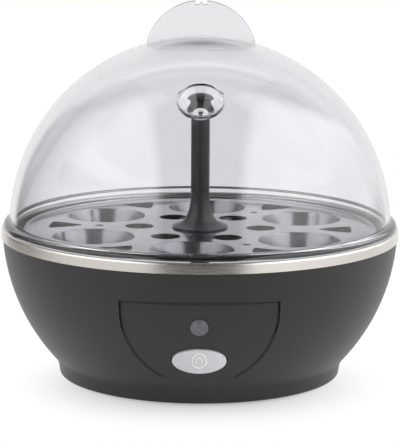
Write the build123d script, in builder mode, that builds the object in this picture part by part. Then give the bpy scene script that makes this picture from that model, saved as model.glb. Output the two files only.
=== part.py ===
from build123d import *
import os
from math import cos, radians, sin, sqrt

# Electric egg cooker for six eggs: a round moulded bowl with a steel band, a water pan over
# a heater plate, a lift-out egg rack with a centre post, and a clear dome lid with a finger
# fin and a steam funnel.
#
# Millimetres, +Z up. The origin is on the table under the middle of the cooker. The front,
# with the push button and the indicator light, faces -Y.

# Bowl housing
bowl_radius = 93.9  # outer sphere of the bowl
bowl_wall = 2.4
bowl_rim_height = 66.6  # the bowl ends here and the steel band begins
bowl_centre_rise = 5.7  # centre of the bowl's sphere above its rim
cover_joint_height = 7.2  # joint between the bowl and the base cover
bowl_foot_height = 8.4  # below this the bowl's side turns steep
bowl_foot_draft = 0.5  # the steep side runs in this much down to the joint

# Steel band
band_height = 5.0
band_overhang = 0.77  # the band's lower edge stands this far out from the bowl's rim
band_lean = 0.3  # and its upper edge this much less
band_sheet = 0.6
band_corner_radius = 1.2
band_shelf_width = 3.4  # the ring that the lid rests on

# Water pan and its seal
pan_sheet = 0.8
pan_flange_drop = 2.2  # from the lid's seat down to the top of the flange
pan_flange_width = 10.4
pan_wall_spread = 8.2  # the mouth is this much wider in radius than the bottom
pan_depth = 19.4
pan_corner_radius = 6.0
pan_mouth_round = 1.2
pan_flange_clearance = 0.4
seal_thickness = 1.2
seal_width = 5.0
ledge_width = 6.0
ledge_thickness = 2.0
neck_clearance = 0.2

# Clear lid
dome_step = 3.65  # the dome's sphere stands back this far from the band's upper edge
dome_centre_drop = 0.9  # centre of the dome's sphere below the lid's seat
dome_wall = 2.0
lip_step = 0.8  # the lip stands back this far from the band's upper edge
lip_height = 2.9
lip_corner_radius = 1.1
lip_root_fillet = 0.8
spigot_drop = 1.6  # locating ring below the lip
spigot_clearance = 0.45

# Finger fin on top of the lid
fin_radius = 26.4
fin_sink = 9.15  # the fin's centre below the top of the dome
fin_thickness = 3.2
fin_edge_radius = 0.5
fin_notch_width = 5.7
fin_notch_depth = 1.9
fin_pip_radius = 0.9

# Steam funnel in the front of the dome
funnel_angle = 48.8  # degrees above the dome's equator
funnel_lean_angle = 6.3  # the funnel's axis is this much steeper than the dome's radius
funnel_rim_rise = 0.25  # middle of the rim above the dome's surface
funnel_rim_radius = 9.7
funnel_depth = 6.4
funnel_floor_radius = 4.2
funnel_hole_radius = 3.0
funnel_wall = 1.3
funnel_skirt = 1.8  # straight side under the rim
funnel_bead_radius = 0.5

# Egg rack
tray_overlap = 3.0  # the rack's rim rests this far on the pan's flange
tray_sheet = 0.8
tray_turn_angle = -3.6  # degrees, how the rack happens to be put in
egg_count = 6
egg_hole_radius = 19.0
egg_hole_margin = 9.8  # from the holes to the rack's rim
cup_floor_radius = 16.0
cup_depth = 12.5
cup_edge_radius = 0.6
round_hole_radius = 6.85
round_hole_step = 26.2  # their ring is this much smaller in radius than the eggs' ring
slot_margin = 12.0  # from the slots to the rack's rim
slot_length = 16.0
slot_half_width = 8.2
slot_side_bow = 1.1
slot_corner_radius = 1.0
drip_hole_radius = 1.9
drip_hole_step = 7.2  # their ring is this much smaller in radius than the eggs' ring
drip_hole_count = 3

# Centre post of the rack
post_flange_radius = 13.2
post_flange_height = 1.0
post_radius = 4.45
post_bell_height = 17.0  # top of the flared foot above the tray
post_bell_radius = 12.2
post_bell_spread = 5.0
post_bell_rise = 1.5
post_bell_pull = 10.7
post_top_round = 3.0
post_flange_round = 0.5
post_height = 65.0  # above the tray
post_groove_depth = 0.3
post_spigot_radius = 3.4
post_spigot_clearance = 0.15
washer_radius = 8.0
washer_thickness = 1.0
post_screw_radius = 2.0
post_screw_length = 14.0
post_screw_head_radius = 4.0
post_screw_head_height = 2.4
thread_clearance = 0.1

# Heater under the pan
plate_radius = 52.0
plate_thickness = 3.0
heater_ring_inset = 12.0  # from the plate's rim in to the middle of the tube
heater_tube_radius = 3.25
heater_flat = 2.6  # from the tube's centre up to its flat side
heater_sweep_angle = 300.0  # degrees
heater_pin_radius = 1.4
heater_pin_length = 9.0
heater_bead_radius = 2.4
heater_bead_length = 4.0

# Thermostat
thermostat_radius = 8.0
thermostat_height = 9.0
thermostat_flange_radius = 9.5
thermostat_flange_height = 1.6
blade_width = 6.3
blade_thickness = 0.8
blade_length = 8.0
blade_spacing = 8.0
bracket_length = 42.0
bracket_width = 22.0
bracket_sheet = 0.8
bracket_clearance = 0.2
bracket_pad_radius = 3.6
bracket_screw_spacing = 30.0
small_screw_radius = 1.5
small_screw_head_radius = 3.0
small_screw_head_height = 1.8
small_screw_length = 3.6
clip_screw_length = 2.6

# Thermal fuse and its clip
fuse_radius = 2.3
fuse_length = 24.0
fuse_gap = 0.1
fuse_setback = 24.0  # behind the middle of the plate
clip_width = 8.0
clip_sheet = 0.6
clip_tab_length = 6.0

# Studs that hold the pan down
stud_count = 3
stud_margin = 5.0  # from the plate's rim out to the middle of a stud
stud_radius = 2.0
stud_clearance = 0.3
stud_tower_radius = 5.0
stud_tower_gap = 2.2  # from a tower's top up to the level of the plate's underside
stud_tower_height = 12.0
nut_radius = 3.9
nut_height = 3.2
stud_tail = 1.2
rib_thickness = 2.0

# Control panel recess in the front of the bowl
panel_half_width = 35.5
panel_round_height = 46.0  # centre of the round lower edge
panel_top_height = 52.2
panel_face_setback = 1.9  # the face is the bowl's own sphere, moved back by this much
panel_face_drop = 2.33  # and down by this much, so it runs out into the bowl at its foot
panel_draft_angle = 6.0  # degrees
panel_mould_setback = 13.9  # from the bowl's radius in to where the outline has its nominal size

# Push button
button_half_width = 12.2
button_half_height = 6.95
button_height = 24.0  # middle of the button above the table
button_proud = 0.9
button_edge_drop = 0.7  # the crowned face falls this much to its ends
button_edge_radius = 0.4
button_clearance = 0.45
button_depth = 7.0
button_flange_width = 1.5
button_flange_height = 1.2
button_travel = 2.5
collar_wall = 1.8
collar_gap = 0.3  # from the collar's end to the button's flange

# Switch behind the button
plunger_radius = 2.2
plunger_length = 6.0
plunger_clearance = 0.35
switch_width = 29.0
switch_height = 13.0
switch_depth = 12.5
switch_gap = 0.5  # from the pressed button's flange to the switch
switch_corner_radius = 1.0
cradle_clearance = 0.15
cradle_wall = 2.0
cradle_grip = 11.0  # the cradle holds this much of the switch's sides

# Indicator light
lens_radius = 4.0
lens_height = 41.3  # middle of the lens above the table
lens_proud = 0.5  # straight side in front of the panel
lens_crown = 1.2
lens_clearance = 0.1
lens_flange_radius = 5.2
lens_flange_height = 1.0
lens_flange_gap = 0.1
lamp_collar_depth = 8.0
lamp_collar_wall = 1.6
lamp_holder_clearance = 0.2
lamp_holder_length = 8.6
lamp_holder_back = 1.5
lamp_radius = 2.4
lamp_clearance = 0.3
lamp_length = 6.4

# Base cover and feet
cover_step = 0.4  # the cover stands back from the bowl
cover_taper = 1.1
cover_edge_radius = 0.8
cover_floor_height = 2.6  # underside of the floor above the table
cover_floor = 2.2
cover_ring_wall = 2.4
cover_spigot_height = 2.8
cover_spigot_wall = 1.8
cover_spigot_clearance = 0.3
foot_stand = 0.8  # the feet lift the ring off the table
foot_radius = 7.0
foot_stem_radius = 2.4
foot_stem_clearance = 0.1
foot_head_radius = 3.4
foot_head_height = 1.4
foot_inset = 14.4  # from the cover's outer edge in to the middle of a foot
foot_count = 4
foot_edge_radius = 0.6

# Screws that hold the base cover
cover_screw_count = 4
cover_screw_inset = 14.4  # from the cover's outer edge in to the middle of a screw
cover_screw_radius = 1.5
cover_screw_length = 14.0
cover_screw_head_radius = 3.3
cover_screw_head_height = 2.2
cover_post_radius = 5.2
cover_post_top = 9.0
cover_well_clearance = 0.4
cover_well_top = 6.0
boss_radius = 4.0
boss_height = 17.0
boss_rib_rise = 1.6

# Cord outlet at the back
cord_height = 17.0
cord_pad_radius = 8.0
cord_pad_sink = 6.9  # the flat pad lies this deep in the bowl's outside
cord_bush_radius = 5.0
cord_bush_clearance = 0.1
cord_bush_flange_radius = 6.6
cord_bush_flange = 1.6
cord_bush_length = 6.6
cord_bore_radius = 3.4
cord_bush_edge_radius = 0.5

# Terminal block on the base cover
block_length = 30.0
block_width = 15.0
block_height = 12.0
block_gap = 19.2  # from the block to the cover's locating ring
block_ways = 3
block_pitch = 9.0
block_well_radius = 2.4
block_well_depth = 5.0
block_corner_radius = 1.5


bowl_centre_height = bowl_rim_height + bowl_centre_rise


def bowl_radius_at(height, inset=0.0):
    """Radius of the bowl's sphere at a height, or of the same sphere set in by a wall."""
    return sqrt((bowl_radius - inset) ** 2 - (height - bowl_centre_height) ** 2)


# Heights and radii that follow from the sizes above
band_foot_radius = bowl_radius_at(bowl_rim_height) + band_overhang
band_top_radius = band_foot_radius - band_lean
lid_seat_height = bowl_rim_height + band_height
pan_flange_top = lid_seat_height - pan_flange_drop
pan_flange_bottom = pan_flange_top - pan_sheet
ledge_top = pan_flange_bottom - seal_thickness
neck_top = lid_seat_height - spigot_drop - neck_clearance
band_inner_radius = band_top_radius - band_sheet
neck_radius = band_inner_radius - neck_clearance
shelf_inner_radius = band_top_radius - band_shelf_width
turndown_radius = shelf_inner_radius + band_sheet
neck_inner_radius = turndown_radius + 2 * neck_clearance
pan_flange_radius = neck_inner_radius - pan_flange_clearance
pan_mouth_radius = pan_flange_radius - pan_flange_width
pan_bottom_radius = pan_mouth_radius - pan_wall_spread
pan_bottom_height = pan_flange_top - pan_depth
pan_underside = pan_bottom_height - pan_sheet
plate_underside = pan_underside - plate_thickness

spigot_radius = shelf_inner_radius - spigot_clearance
lip_radius = band_top_radius - lip_step
dome_radius = band_top_radius - dome_step
dome_centre_height = lid_seat_height - dome_centre_drop
dome_top = dome_centre_height + dome_radius
tray_top = pan_flange_top + tray_sheet
tray_radius = pan_mouth_radius + tray_overlap

bowl_foot_radius = bowl_radius_at(bowl_foot_height) - bowl_foot_draft
cover_top_radius = bowl_foot_radius - cover_step
cover_foot_radius = cover_top_radius - cover_taper
cover_screw_ring = cover_foot_radius - cover_screw_inset
foot_ring_radius = cover_foot_radius - foot_inset
heater_ring_radius = plate_radius - heater_ring_inset
stud_ring_radius = plate_radius + stud_margin
stud_tower_foot = plate_underside - stud_tower_gap - stud_tower_height

panel_centre_height = bowl_centre_height - panel_face_drop


def panel_plane(height):
    """Plane on the panel's middle line: local Z points out of the panel, local Y up along it."""
    rise = height - panel_centre_height
    reach = sqrt(bowl_radius**2 - rise**2)
    return Plane(
        origin=(0, panel_face_setback - reach, height),
        x_dir=(1, 0, 0),
        z_dir=(0, -reach, rise),
    )


button_plane = panel_plane(button_height)
lens_plane = panel_plane(lens_height)
button_axis = Axis(button_plane.origin, button_plane.z_dir)
lens_axis = Axis(lens_plane.origin, lens_plane.z_dir)
funnel_axis_angle = radians(funnel_angle + funnel_lean_angle)
funnel_plane = Plane(
    origin=(
        0,
        -dome_radius * cos(radians(funnel_angle)),
        dome_centre_height + dome_radius * sin(radians(funnel_angle)),
    ),
    x_dir=(1, 0, 0),
    z_dir=(0, -cos(funnel_axis_angle), sin(funnel_axis_angle)),
)
cord_pad_face = bowl_radius_at(cord_height) - cord_pad_sink
cord_plane = Plane(origin=(0, cord_pad_face, cord_height), x_dir=(-1, 0, 0), z_dir=(0, 1, 0))

os.makedirs("parts", exist_ok=True)

# Lid: the dome, its lip and the locating ring are one revolved section, and the finger fin
# and the steam funnel are moulded with it
dome_inner_radius = dome_radius - dome_wall
lip_top = lid_seat_height + lip_height
fin_centre_height = dome_top - fin_sink
lip_root_radius = sqrt(dome_radius**2 - (lip_top - dome_centre_height) ** 2)
funnel_skirt_radius = funnel_rim_radius + funnel_bead_radius
funnel_slope = (funnel_rim_radius - funnel_floor_radius) / (funnel_rim_rise + funnel_depth)
funnel_reach = funnel_rim_rise + funnel_depth + funnel_wall

with BuildPart() as fin:
    with BuildSketch(Plane.XZ) as fin_outline:
        with Locations((0, fin_centre_height)):
            Circle(fin_radius)
    extrude(amount=fin_thickness / 2, both=True)
    fillet(fin.faces().filter_by(Axis.Y).edges(), fin_edge_radius)
    with BuildSketch(Plane.XZ) as fin_notch:
        with Locations((0, fin_centre_height + fin_radius)):
            Rectangle(fin_notch_width, 2 * fin_notch_depth)
        with Locations((0, fin_centre_height + fin_radius - fin_notch_depth)):
            Circle(fin_pip_radius, mode=Mode.SUBTRACT)
    extrude(amount=fin_thickness, both=True, mode=Mode.SUBTRACT)

with BuildPart() as lid:
    with BuildSketch(Plane.XZ) as dome_section:
        with Locations((0, dome_centre_height)):
            Circle(dome_radius)
        with Locations((0, lid_seat_height)):
            Rectangle(dome_top, dome_top, align=(Align.MIN, Align.MIN), mode=Mode.INTERSECT)
            Rectangle(lip_radius, lip_height, align=(Align.MIN, Align.MIN))
        with Locations((0, lid_seat_height - spigot_drop)):
            Rectangle(spigot_radius, spigot_drop, align=(Align.MIN, Align.MIN))
        fillet(dome_section.vertices().sort_by_distance((lip_radius, lip_top))[0], lip_corner_radius)
        fillet(dome_section.vertices().sort_by_distance((lip_root_radius, lip_top))[0], lip_root_fillet)
    revolve(axis=Axis.Z)
    add(fin.part)
    with Locations((0, 0, dome_centre_height)):
        Sphere(dome_inner_radius, mode=Mode.SUBTRACT)
    with Locations(funnel_plane.offset(-funnel_depth - funnel_wall)):
        Cone(
            funnel_floor_radius + funnel_wall,
            funnel_skirt_radius,
            funnel_reach - funnel_skirt,
            align=(Align.CENTER, Align.CENTER, Align.MIN),
        )
    with Locations(funnel_plane.offset(funnel_rim_rise)):
        Cylinder(
            funnel_skirt_radius,
            funnel_skirt,
            align=(Align.CENTER, Align.CENTER, Align.MAX),
        )
    with Locations(funnel_plane.offset(-funnel_depth)):
        Cone(
            funnel_floor_radius,
            funnel_floor_radius + funnel_slope * funnel_reach,
            funnel_reach,
            align=(Align.CENTER, Align.CENTER, Align.MIN),
            mode=Mode.SUBTRACT,
        )
        Cylinder(funnel_hole_radius, 4 * funnel_wall, mode=Mode.SUBTRACT)
    with Locations(funnel_plane.offset(funnel_rim_rise)):
        Torus(funnel_rim_radius + funnel_bead_radius, funnel_bead_radius)
lid.part.label = "lid"

# Egg rack: a steel disc with steam openings, and the six drawn cups under it
cup_start = tray_turn_angle - 90
web_start = cup_start + 180 / egg_count
egg_ring_radius = tray_radius - egg_hole_margin - egg_hole_radius
round_hole_ring = egg_ring_radius - round_hole_step
drip_hole_ring = egg_ring_radius - drip_hole_step
slot_base_radius = tray_radius - slot_margin
slot_tip_radius = slot_base_radius - slot_length
slot_base_x = sqrt(slot_base_radius**2 - slot_half_width**2)

with BuildSketch() as slot_outline:
    with BuildLine():
        SagittaArc((slot_tip_radius, 0), (slot_base_x, slot_half_width), slot_side_bow)
        mirror(about=Plane.XZ)
        ThreePointArc((slot_base_x, slot_half_width), (slot_base_radius, 0), (slot_base_x, -slot_half_width))
    make_face()
    fillet(slot_outline.vertices(), slot_corner_radius)

with BuildPart() as cup_forms:
    with Locations(Plane.XY.offset(tray_top)):
        with PolarLocations(egg_ring_radius, egg_count, start_angle=cup_start):
            Cone(
                cup_floor_radius,
                egg_hole_radius,
                cup_depth,
                align=(Align.CENTER, Align.CENTER, Align.MAX),
            )

with BuildPart() as egg_tray:
    with BuildSketch(Plane.XY.offset(pan_flange_top)) as tray_disc:
        Circle(tray_radius)
    extrude(amount=tray_sheet)
    add(cup_forms.part, mode=Mode.SUBTRACT)
    cup_mouths = egg_tray.edges().group_by(Axis.Z)[-1].filter_by(
        lambda edge: abs(edge.radius - egg_hole_radius) < tray_sheet
    )
    fillet(cup_mouths, cup_edge_radius)
    with BuildSketch(Plane.XY.offset(tray_top)) as tray_openings:
        with PolarLocations(round_hole_ring, egg_count, start_angle=web_start):
            Circle(round_hole_radius)
        with PolarLocations(drip_hole_ring, drip_hole_count, start_angle=web_start):
            Circle(drip_hole_radius)
        with PolarLocations(0, egg_count, start_angle=web_start):
            add(slot_outline.sketch)
        Circle(post_spigot_radius + post_spigot_clearance)
    extrude(amount=-2 * tray_sheet, mode=Mode.SUBTRACT)
egg_tray.part.label = "egg_tray"

with BuildPart() as egg_cups:
    with Locations(Plane.XY.offset(tray_top)):
        with PolarLocations(egg_ring_radius, egg_count, start_angle=cup_start):
            Cone(
                cup_floor_radius + tray_sheet,
                egg_hole_radius + tray_sheet,
                cup_depth,
                align=(Align.CENTER, Align.CENTER, Align.MAX),
            )
    add(cup_forms.part, mode=Mode.SUBTRACT)
    with Locations(Plane.XY.offset(pan_flange_top)):
        Cylinder(
            tray_radius,
            2 * tray_sheet,
            align=(Align.CENTER, Align.CENTER, Align.MIN),
            mode=Mode.SUBTRACT,
        )
egg_cups.part.label = "egg_cups"

# Centre post of the rack, and the screw and washer that hold it from below
post_top = tray_top + post_height
bell_top = tray_top + post_bell_height
washer_bottom = pan_flange_top - washer_thickness

with BuildPart() as rack_handle:
    with BuildSketch(Plane.XZ) as post_section:
        with BuildLine():
            Line((0, tray_top), (post_flange_radius, tray_top))
            Line((post_flange_radius, tray_top), (post_flange_radius, tray_top + post_flange_height))
            Line(
                (post_flange_radius, tray_top + post_flange_height),
                (post_bell_radius, tray_top + post_flange_height),
            )
            Bezier(
                (post_bell_radius, tray_top + post_flange_height),
                (post_bell_radius - post_bell_spread, tray_top + post_flange_height + post_bell_rise),
                (post_radius, bell_top - post_bell_pull),
                (post_radius, bell_top),
            )
            Line((post_radius, bell_top), (post_radius, post_top))
            Line((post_radius, post_top), (0, post_top))
            Line((0, post_top), (0, tray_top))
        make_face()
        with Locations((post_radius, bell_top)):
            Circle(post_groove_depth, mode=Mode.SUBTRACT)
        fillet(post_section.vertices().sort_by_distance((post_radius, post_top))[0], post_top_round)
        flange_corner = (post_flange_radius, tray_top + post_flange_height)
        fillet(post_section.vertices().sort_by_distance(flange_corner)[0], post_flange_round)
    revolve(axis=Axis.Z)
    with Locations(Plane.XY.offset(tray_top)):
        Cylinder(post_spigot_radius, tray_sheet, align=(Align.CENTER, Align.CENTER, Align.MAX))
    with Locations(Plane.XY.offset(pan_flange_top)):
        Cylinder(
            post_screw_radius + thread_clearance,
            post_screw_length,
            align=(Align.CENTER, Align.CENTER, Align.MIN),
            mode=Mode.SUBTRACT,
        )
rack_handle.part.label = "rack_handle"

with BuildPart() as handle_washer:
    with BuildSketch(Plane.XY.offset(washer_bottom)) as washer_ring:
        Circle(washer_radius)
        Circle(post_screw_radius + thread_clearance, mode=Mode.SUBTRACT)
    extrude(amount=washer_thickness)
handle_washer.part.label = "handle_washer"

with BuildPart() as handle_screw:
    with BuildSketch(Plane.XY.offset(washer_bottom)) as handle_screw_head:
        Circle(post_screw_head_radius)
    extrude(amount=-post_screw_head_height)
    fillet(handle_screw.edges().group_by(Axis.Z)[0], post_screw_head_height / 3)
    with BuildSketch(Plane.XY.offset(washer_bottom)) as handle_screw_shank:
        Circle(post_screw_radius)
    extrude(amount=post_screw_length)
handle_screw.part.label = "handle_screw"

# Steel band: a folded ring with an outer skirt, the lid's seat and an inner turn-down that
# presses on the pan's flange
with BuildPart() as steel_band:
    with BuildSketch(Plane.XZ) as band_section:
        with BuildLine():
            band_path = FilletPolyline(
                (band_foot_radius, bowl_rim_height),
                (band_top_radius, lid_seat_height),
                (shelf_inner_radius, lid_seat_height),
                (shelf_inner_radius, pan_flange_top),
                radius=band_corner_radius,
            )
            offset(band_path, amount=band_sheet, side=Side.LEFT)
        make_face()
    revolve(axis=Axis.Z)
steel_band.part.label = "steel_band"

# Water pan: a pressed dish with a wide flange
with BuildPart() as water_pan:
    with BuildSketch(Plane.XZ) as pan_section:
        with BuildLine():
            pan_path = FilletPolyline(
                (0, pan_bottom_height),
                (pan_bottom_radius, pan_bottom_height),
                (pan_mouth_radius, pan_flange_top),
                (pan_flange_radius, pan_flange_top),
                radius=(pan_corner_radius, pan_mouth_round),
            )
            offset(pan_path, amount=pan_sheet, side=Side.RIGHT)
        make_face()
    revolve(axis=Axis.Z)
water_pan.part.label = "water_pan"

with BuildPart() as pan_seal:
    with BuildSketch(Plane.XY.offset(ledge_top)) as seal_ring:
        Circle(pan_flange_radius)
        Circle(pan_flange_radius - seal_width, mode=Mode.SUBTRACT)
    extrude(amount=seal_thickness)
pan_seal.part.label = "pan_seal"

# Heater plate under the pan, with raised pads for the thermostat's bracket
bracket_top = plate_underside - thermostat_flange_height
bracket_bottom = bracket_top - bracket_sheet
clip_inner_radius = fuse_radius + fuse_gap
clip_outer_radius = clip_inner_radius + clip_sheet
clip_screw_offset = clip_outer_radius + clip_tab_length / 2
clip_bottom = plate_underside - clip_sheet
bracket_screw_spots = GridLocations(bracket_screw_spacing, 0, 2, 1).locations
clip_screw_spots = [
    Location((0, fuse_setback - clip_screw_offset)),
    Location((0, fuse_setback + clip_screw_offset)),
]

with BuildPart() as heater_plate:
    with BuildSketch(Plane.XY.offset(pan_underside)) as plate_disc:
        Circle(plate_radius)
    extrude(amount=-plate_thickness)
    with BuildSketch(Plane.XY.offset(plate_underside)) as plate_pads:
        with Locations(*bracket_screw_spots):
            Circle(bracket_pad_radius)
    extrude(amount=-thermostat_flange_height)
    with BuildSketch(Plane.XY.offset(bracket_top)) as bracket_pilots:
        with Locations(*bracket_screw_spots):
            Circle(small_screw_radius + thread_clearance)
    extrude(amount=small_screw_length - bracket_sheet + thread_clearance, mode=Mode.SUBTRACT)
    with BuildSketch(Plane.XY.offset(plate_underside)) as clip_pilots:
        with Locations(*clip_screw_spots):
            Circle(small_screw_radius + thread_clearance)
    extrude(amount=clip_screw_length - clip_sheet + thread_clearance, mode=Mode.SUBTRACT)
heater_plate.part.label = "heater_plate"

# Tubular heating element: a ring with its gap at the back and a flat side against the plate
heater_height = plate_underside - heater_flat
heater_start = 90 + (360 - heater_sweep_angle) / 2
heater_start_direction = (cos(radians(heater_start)), sin(radians(heater_start)), 0)
heater_start_plane = Plane(
    origin=(0, 0, 0),
    x_dir=heater_start_direction,
    z_dir=(heater_start_direction[1], -heater_start_direction[0], 0),
)

with BuildPart() as heating_element:
    with BuildSketch(heater_start_plane) as heater_section:
        with Locations((heater_ring_radius, heater_height)):
            Circle(heater_tube_radius)
        with Locations((heater_ring_radius, plate_underside)):
            Rectangle(
                2 * heater_tube_radius,
                heater_tube_radius,
                align=(Align.CENTER, Align.MIN),
                mode=Mode.SUBTRACT,
            )
    revolve(axis=Axis.Z, revolution_arc=heater_sweep_angle)
heating_element.part.label = "heating_element"

# Ceramic beads and pins at both ends of the element
heater_end_plane = Plane(
    origin=(
        heater_ring_radius * heater_start_direction[0],
        heater_ring_radius * heater_start_direction[1],
        heater_height,
    ),
    z_dir=(heater_start_direction[1], -heater_start_direction[0], 0),
)

with BuildPart() as heater_terminals:
    with BuildSketch(heater_end_plane) as bead_face:
        Circle(heater_bead_radius)
    extrude(amount=heater_bead_length)
    with BuildSketch(heater_end_plane) as pin_face:
        Circle(heater_pin_radius)
    extrude(amount=heater_bead_length + heater_pin_length)
    mirror(about=Plane.YZ)
heater_terminals.part.label = "heater_terminals"

# Thermostat disc in the middle of the plate, its bracket, and the thermal fuse with its clip
with BuildPart() as thermostat:
    with BuildSketch(Plane.XY.offset(plate_underside)) as thermostat_flange:
        Circle(thermostat_flange_radius)
    extrude(amount=-thermostat_flange_height)
    with BuildSketch(Plane.XY.offset(plate_underside)) as thermostat_can:
        Circle(thermostat_radius)
    extrude(amount=-thermostat_height)
    with BuildSketch(Plane.XY.offset(plate_underside - thermostat_height)) as blades:
        with GridLocations(blade_spacing, 0, 2, 1):
            Rectangle(blade_thickness, blade_width)
    extrude(amount=-blade_length)
thermostat.part.label = "thermostat"

with BuildPart() as thermostat_bracket:
    with BuildSketch(Plane.XY.offset(bracket_top)) as bracket_outline:
        SlotOverall(bracket_length, bracket_width)
        Circle(thermostat_radius + bracket_clearance, mode=Mode.SUBTRACT)
        with Locations(*bracket_screw_spots):
            Circle(small_screw_radius + thread_clearance, mode=Mode.SUBTRACT)
    extrude(amount=-bracket_sheet)
thermostat_bracket.part.label = "thermostat_bracket"

with BuildPart() as thermal_fuse:
    with BuildSketch(Plane.YZ) as fuse_section:
        with Locations((fuse_setback, plate_underside - fuse_radius - fuse_gap)):
            Circle(fuse_radius)
    extrude(amount=fuse_length / 2, both=True)
thermal_fuse.part.label = "thermal_fuse"

with BuildPart() as fuse_clip:
    with BuildSketch(Plane.YZ) as clip_section:
        with Locations((fuse_setback, plate_underside - fuse_radius - fuse_gap)):
            Circle(clip_outer_radius)
            Rectangle(2 * clip_outer_radius, clip_inner_radius, align=(Align.CENTER, Align.MIN))
        with Locations((fuse_setback, plate_underside)):
            Rectangle(
                2 * (clip_outer_radius + clip_tab_length),
                clip_sheet,
                align=(Align.CENTER, Align.MAX),
            )
            Rectangle(
                4 * clip_outer_radius,
                clip_outer_radius,
                align=(Align.CENTER, Align.MIN),
                mode=Mode.SUBTRACT,
            )
        with Locations((fuse_setback, plate_underside - fuse_radius - fuse_gap)):
            Circle(clip_inner_radius, mode=Mode.SUBTRACT)
            Rectangle(
                2 * clip_inner_radius,
                2 * clip_inner_radius,
                align=(Align.CENTER, Align.MIN),
                mode=Mode.SUBTRACT,
            )
    extrude(amount=clip_width / 2, both=True)
    with BuildSketch(Plane.XY.offset(plate_underside)) as clip_holes:
        with Locations(*clip_screw_spots):
            Circle(small_screw_radius + thread_clearance)
    extrude(amount=-clip_sheet, mode=Mode.SUBTRACT)
fuse_clip.part.label = "fuse_clip"

with BuildPart() as heater_screws:
    with BuildSketch(Plane.XY.offset(bracket_bottom)) as bracket_screw_heads:
        with Locations(*bracket_screw_spots):
            Circle(small_screw_head_radius)
    extrude(amount=-small_screw_head_height)
    with BuildSketch(Plane.XY.offset(bracket_bottom)) as bracket_screw_shanks:
        with Locations(*bracket_screw_spots):
            Circle(small_screw_radius)
    extrude(amount=small_screw_length)
    with BuildSketch(Plane.XY.offset(clip_bottom)) as clip_screw_heads:
        with Locations(*clip_screw_spots):
            Circle(small_screw_head_radius)
    extrude(amount=-small_screw_head_height)
    with BuildSketch(Plane.XY.offset(clip_bottom)) as clip_screw_shanks:
        with Locations(*clip_screw_spots):
            Circle(small_screw_radius)
    extrude(amount=clip_screw_length)
heater_screws.part.label = "heater_screws"

# Studs welded under the pan, and the nuts that pull it down on its seal
nut_top = stud_tower_foot
stud_length = pan_underside - nut_top + nut_height + stud_tail

with BuildPart() as pan_studs:
    with BuildSketch(Plane.XY.offset(pan_underside)) as stud_faces:
        with PolarLocations(stud_ring_radius, stud_count, start_angle=90):
            Circle(stud_radius)
    extrude(amount=-stud_length)
pan_studs.part.label = "pan_studs"

with BuildPart() as pan_nuts:
    with BuildSketch(Plane.XY.offset(nut_top)) as nut_faces:
        with PolarLocations(stud_ring_radius, stud_count, start_angle=90):
            RegularPolygon(nut_radius, 6)
            Circle(stud_radius + thread_clearance, mode=Mode.SUBTRACT)
    extrude(amount=-nut_height)
pan_nuts.part.label = "pan_nuts"

# Outer form of the bowl, which trims everything moulded inside it
bowl_foot_inside = bowl_radius_at(cover_joint_height) - bowl_wall / 4

with BuildPart() as bowl_form:
    with BuildSketch(Plane.XZ) as bowl_form_section:
        with Locations((0, bowl_centre_height)):
            Circle(bowl_radius)
        with Locations((0, cover_joint_height)):
            Rectangle(
                bowl_radius,
                bowl_rim_height - cover_joint_height,
                align=(Align.MIN, Align.MIN),
                mode=Mode.INTERSECT,
            )
        with BuildLine():
            Polyline(
                (bowl_foot_inside, cover_joint_height),
                (bowl_foot_radius, cover_joint_height),
                (bowl_radius_at(bowl_foot_height), bowl_foot_height),
                (bowl_foot_inside, bowl_foot_height),
                close=True,
            )
        make_face()
        with Locations((0, bowl_rim_height)):
            Rectangle(neck_radius, neck_top - bowl_rim_height, align=(Align.MIN, Align.MIN))
    revolve(axis=Axis.Z)

# Control panel: its face lies on the bowl's own sphere, moved back and down
panel_centre = (0, panel_face_setback, panel_centre_height)

with BuildPart() as panel_recess:
    with BuildSketch(Plane.XZ.offset(bowl_radius - panel_mould_setback)) as panel_outline:
        with Locations((0, panel_round_height)):
            Circle(panel_half_width)
            Rectangle(
                2 * panel_half_width,
                2 * panel_half_width,
                align=(Align.CENTER, Align.MIN),
                mode=Mode.SUBTRACT,
            )
            Rectangle(
                2 * panel_half_width,
                panel_top_height - panel_round_height,
                align=(Align.CENTER, Align.MIN),
            )
    extrude(amount=panel_mould_setback + panel_face_setback, taper=-panel_draft_angle)
    extrude(panel_outline.sketch, amount=-panel_half_width, taper=panel_draft_angle)
    with Locations(panel_centre):
        Sphere(bowl_radius, mode=Mode.SUBTRACT)

with BuildPart() as panel_backing:
    with BuildSketch(Plane.XZ) as backing_outline:
        with Locations((0, panel_round_height)):
            Circle(panel_half_width + bowl_wall)
            Rectangle(
                2 * (panel_half_width + bowl_wall),
                panel_top_height - panel_round_height + bowl_wall,
                align=(Align.CENTER, Align.MIN),
            )
        with Locations((0, panel_top_height + bowl_wall)):
            Rectangle(
                4 * panel_half_width,
                2 * panel_half_width,
                align=(Align.CENTER, Align.MIN),
                mode=Mode.SUBTRACT,
            )
    extrude(amount=bowl_radius)
    with Locations(panel_centre):
        Sphere(bowl_radius - bowl_wall, mode=Mode.SUBTRACT)

# Housing: the bowl with its rim, the recessed panel, and the bosses and collars moulded inside
collar_depth = button_depth - collar_gap
lamp_pocket_radius = lens_flange_radius + lamp_holder_clearance
button_flange_back = -(button_depth + button_flange_height)
switch_front = button_flange_back - button_travel - switch_gap
cradle_inner = switch_width / 2 + cradle_clearance
cradle_reach = cradle_grip - switch_front
boss_foot = cover_post_top
cord_cup_radius = cord_pad_radius + bowl_wall
rib_reach = bowl_radius

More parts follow.
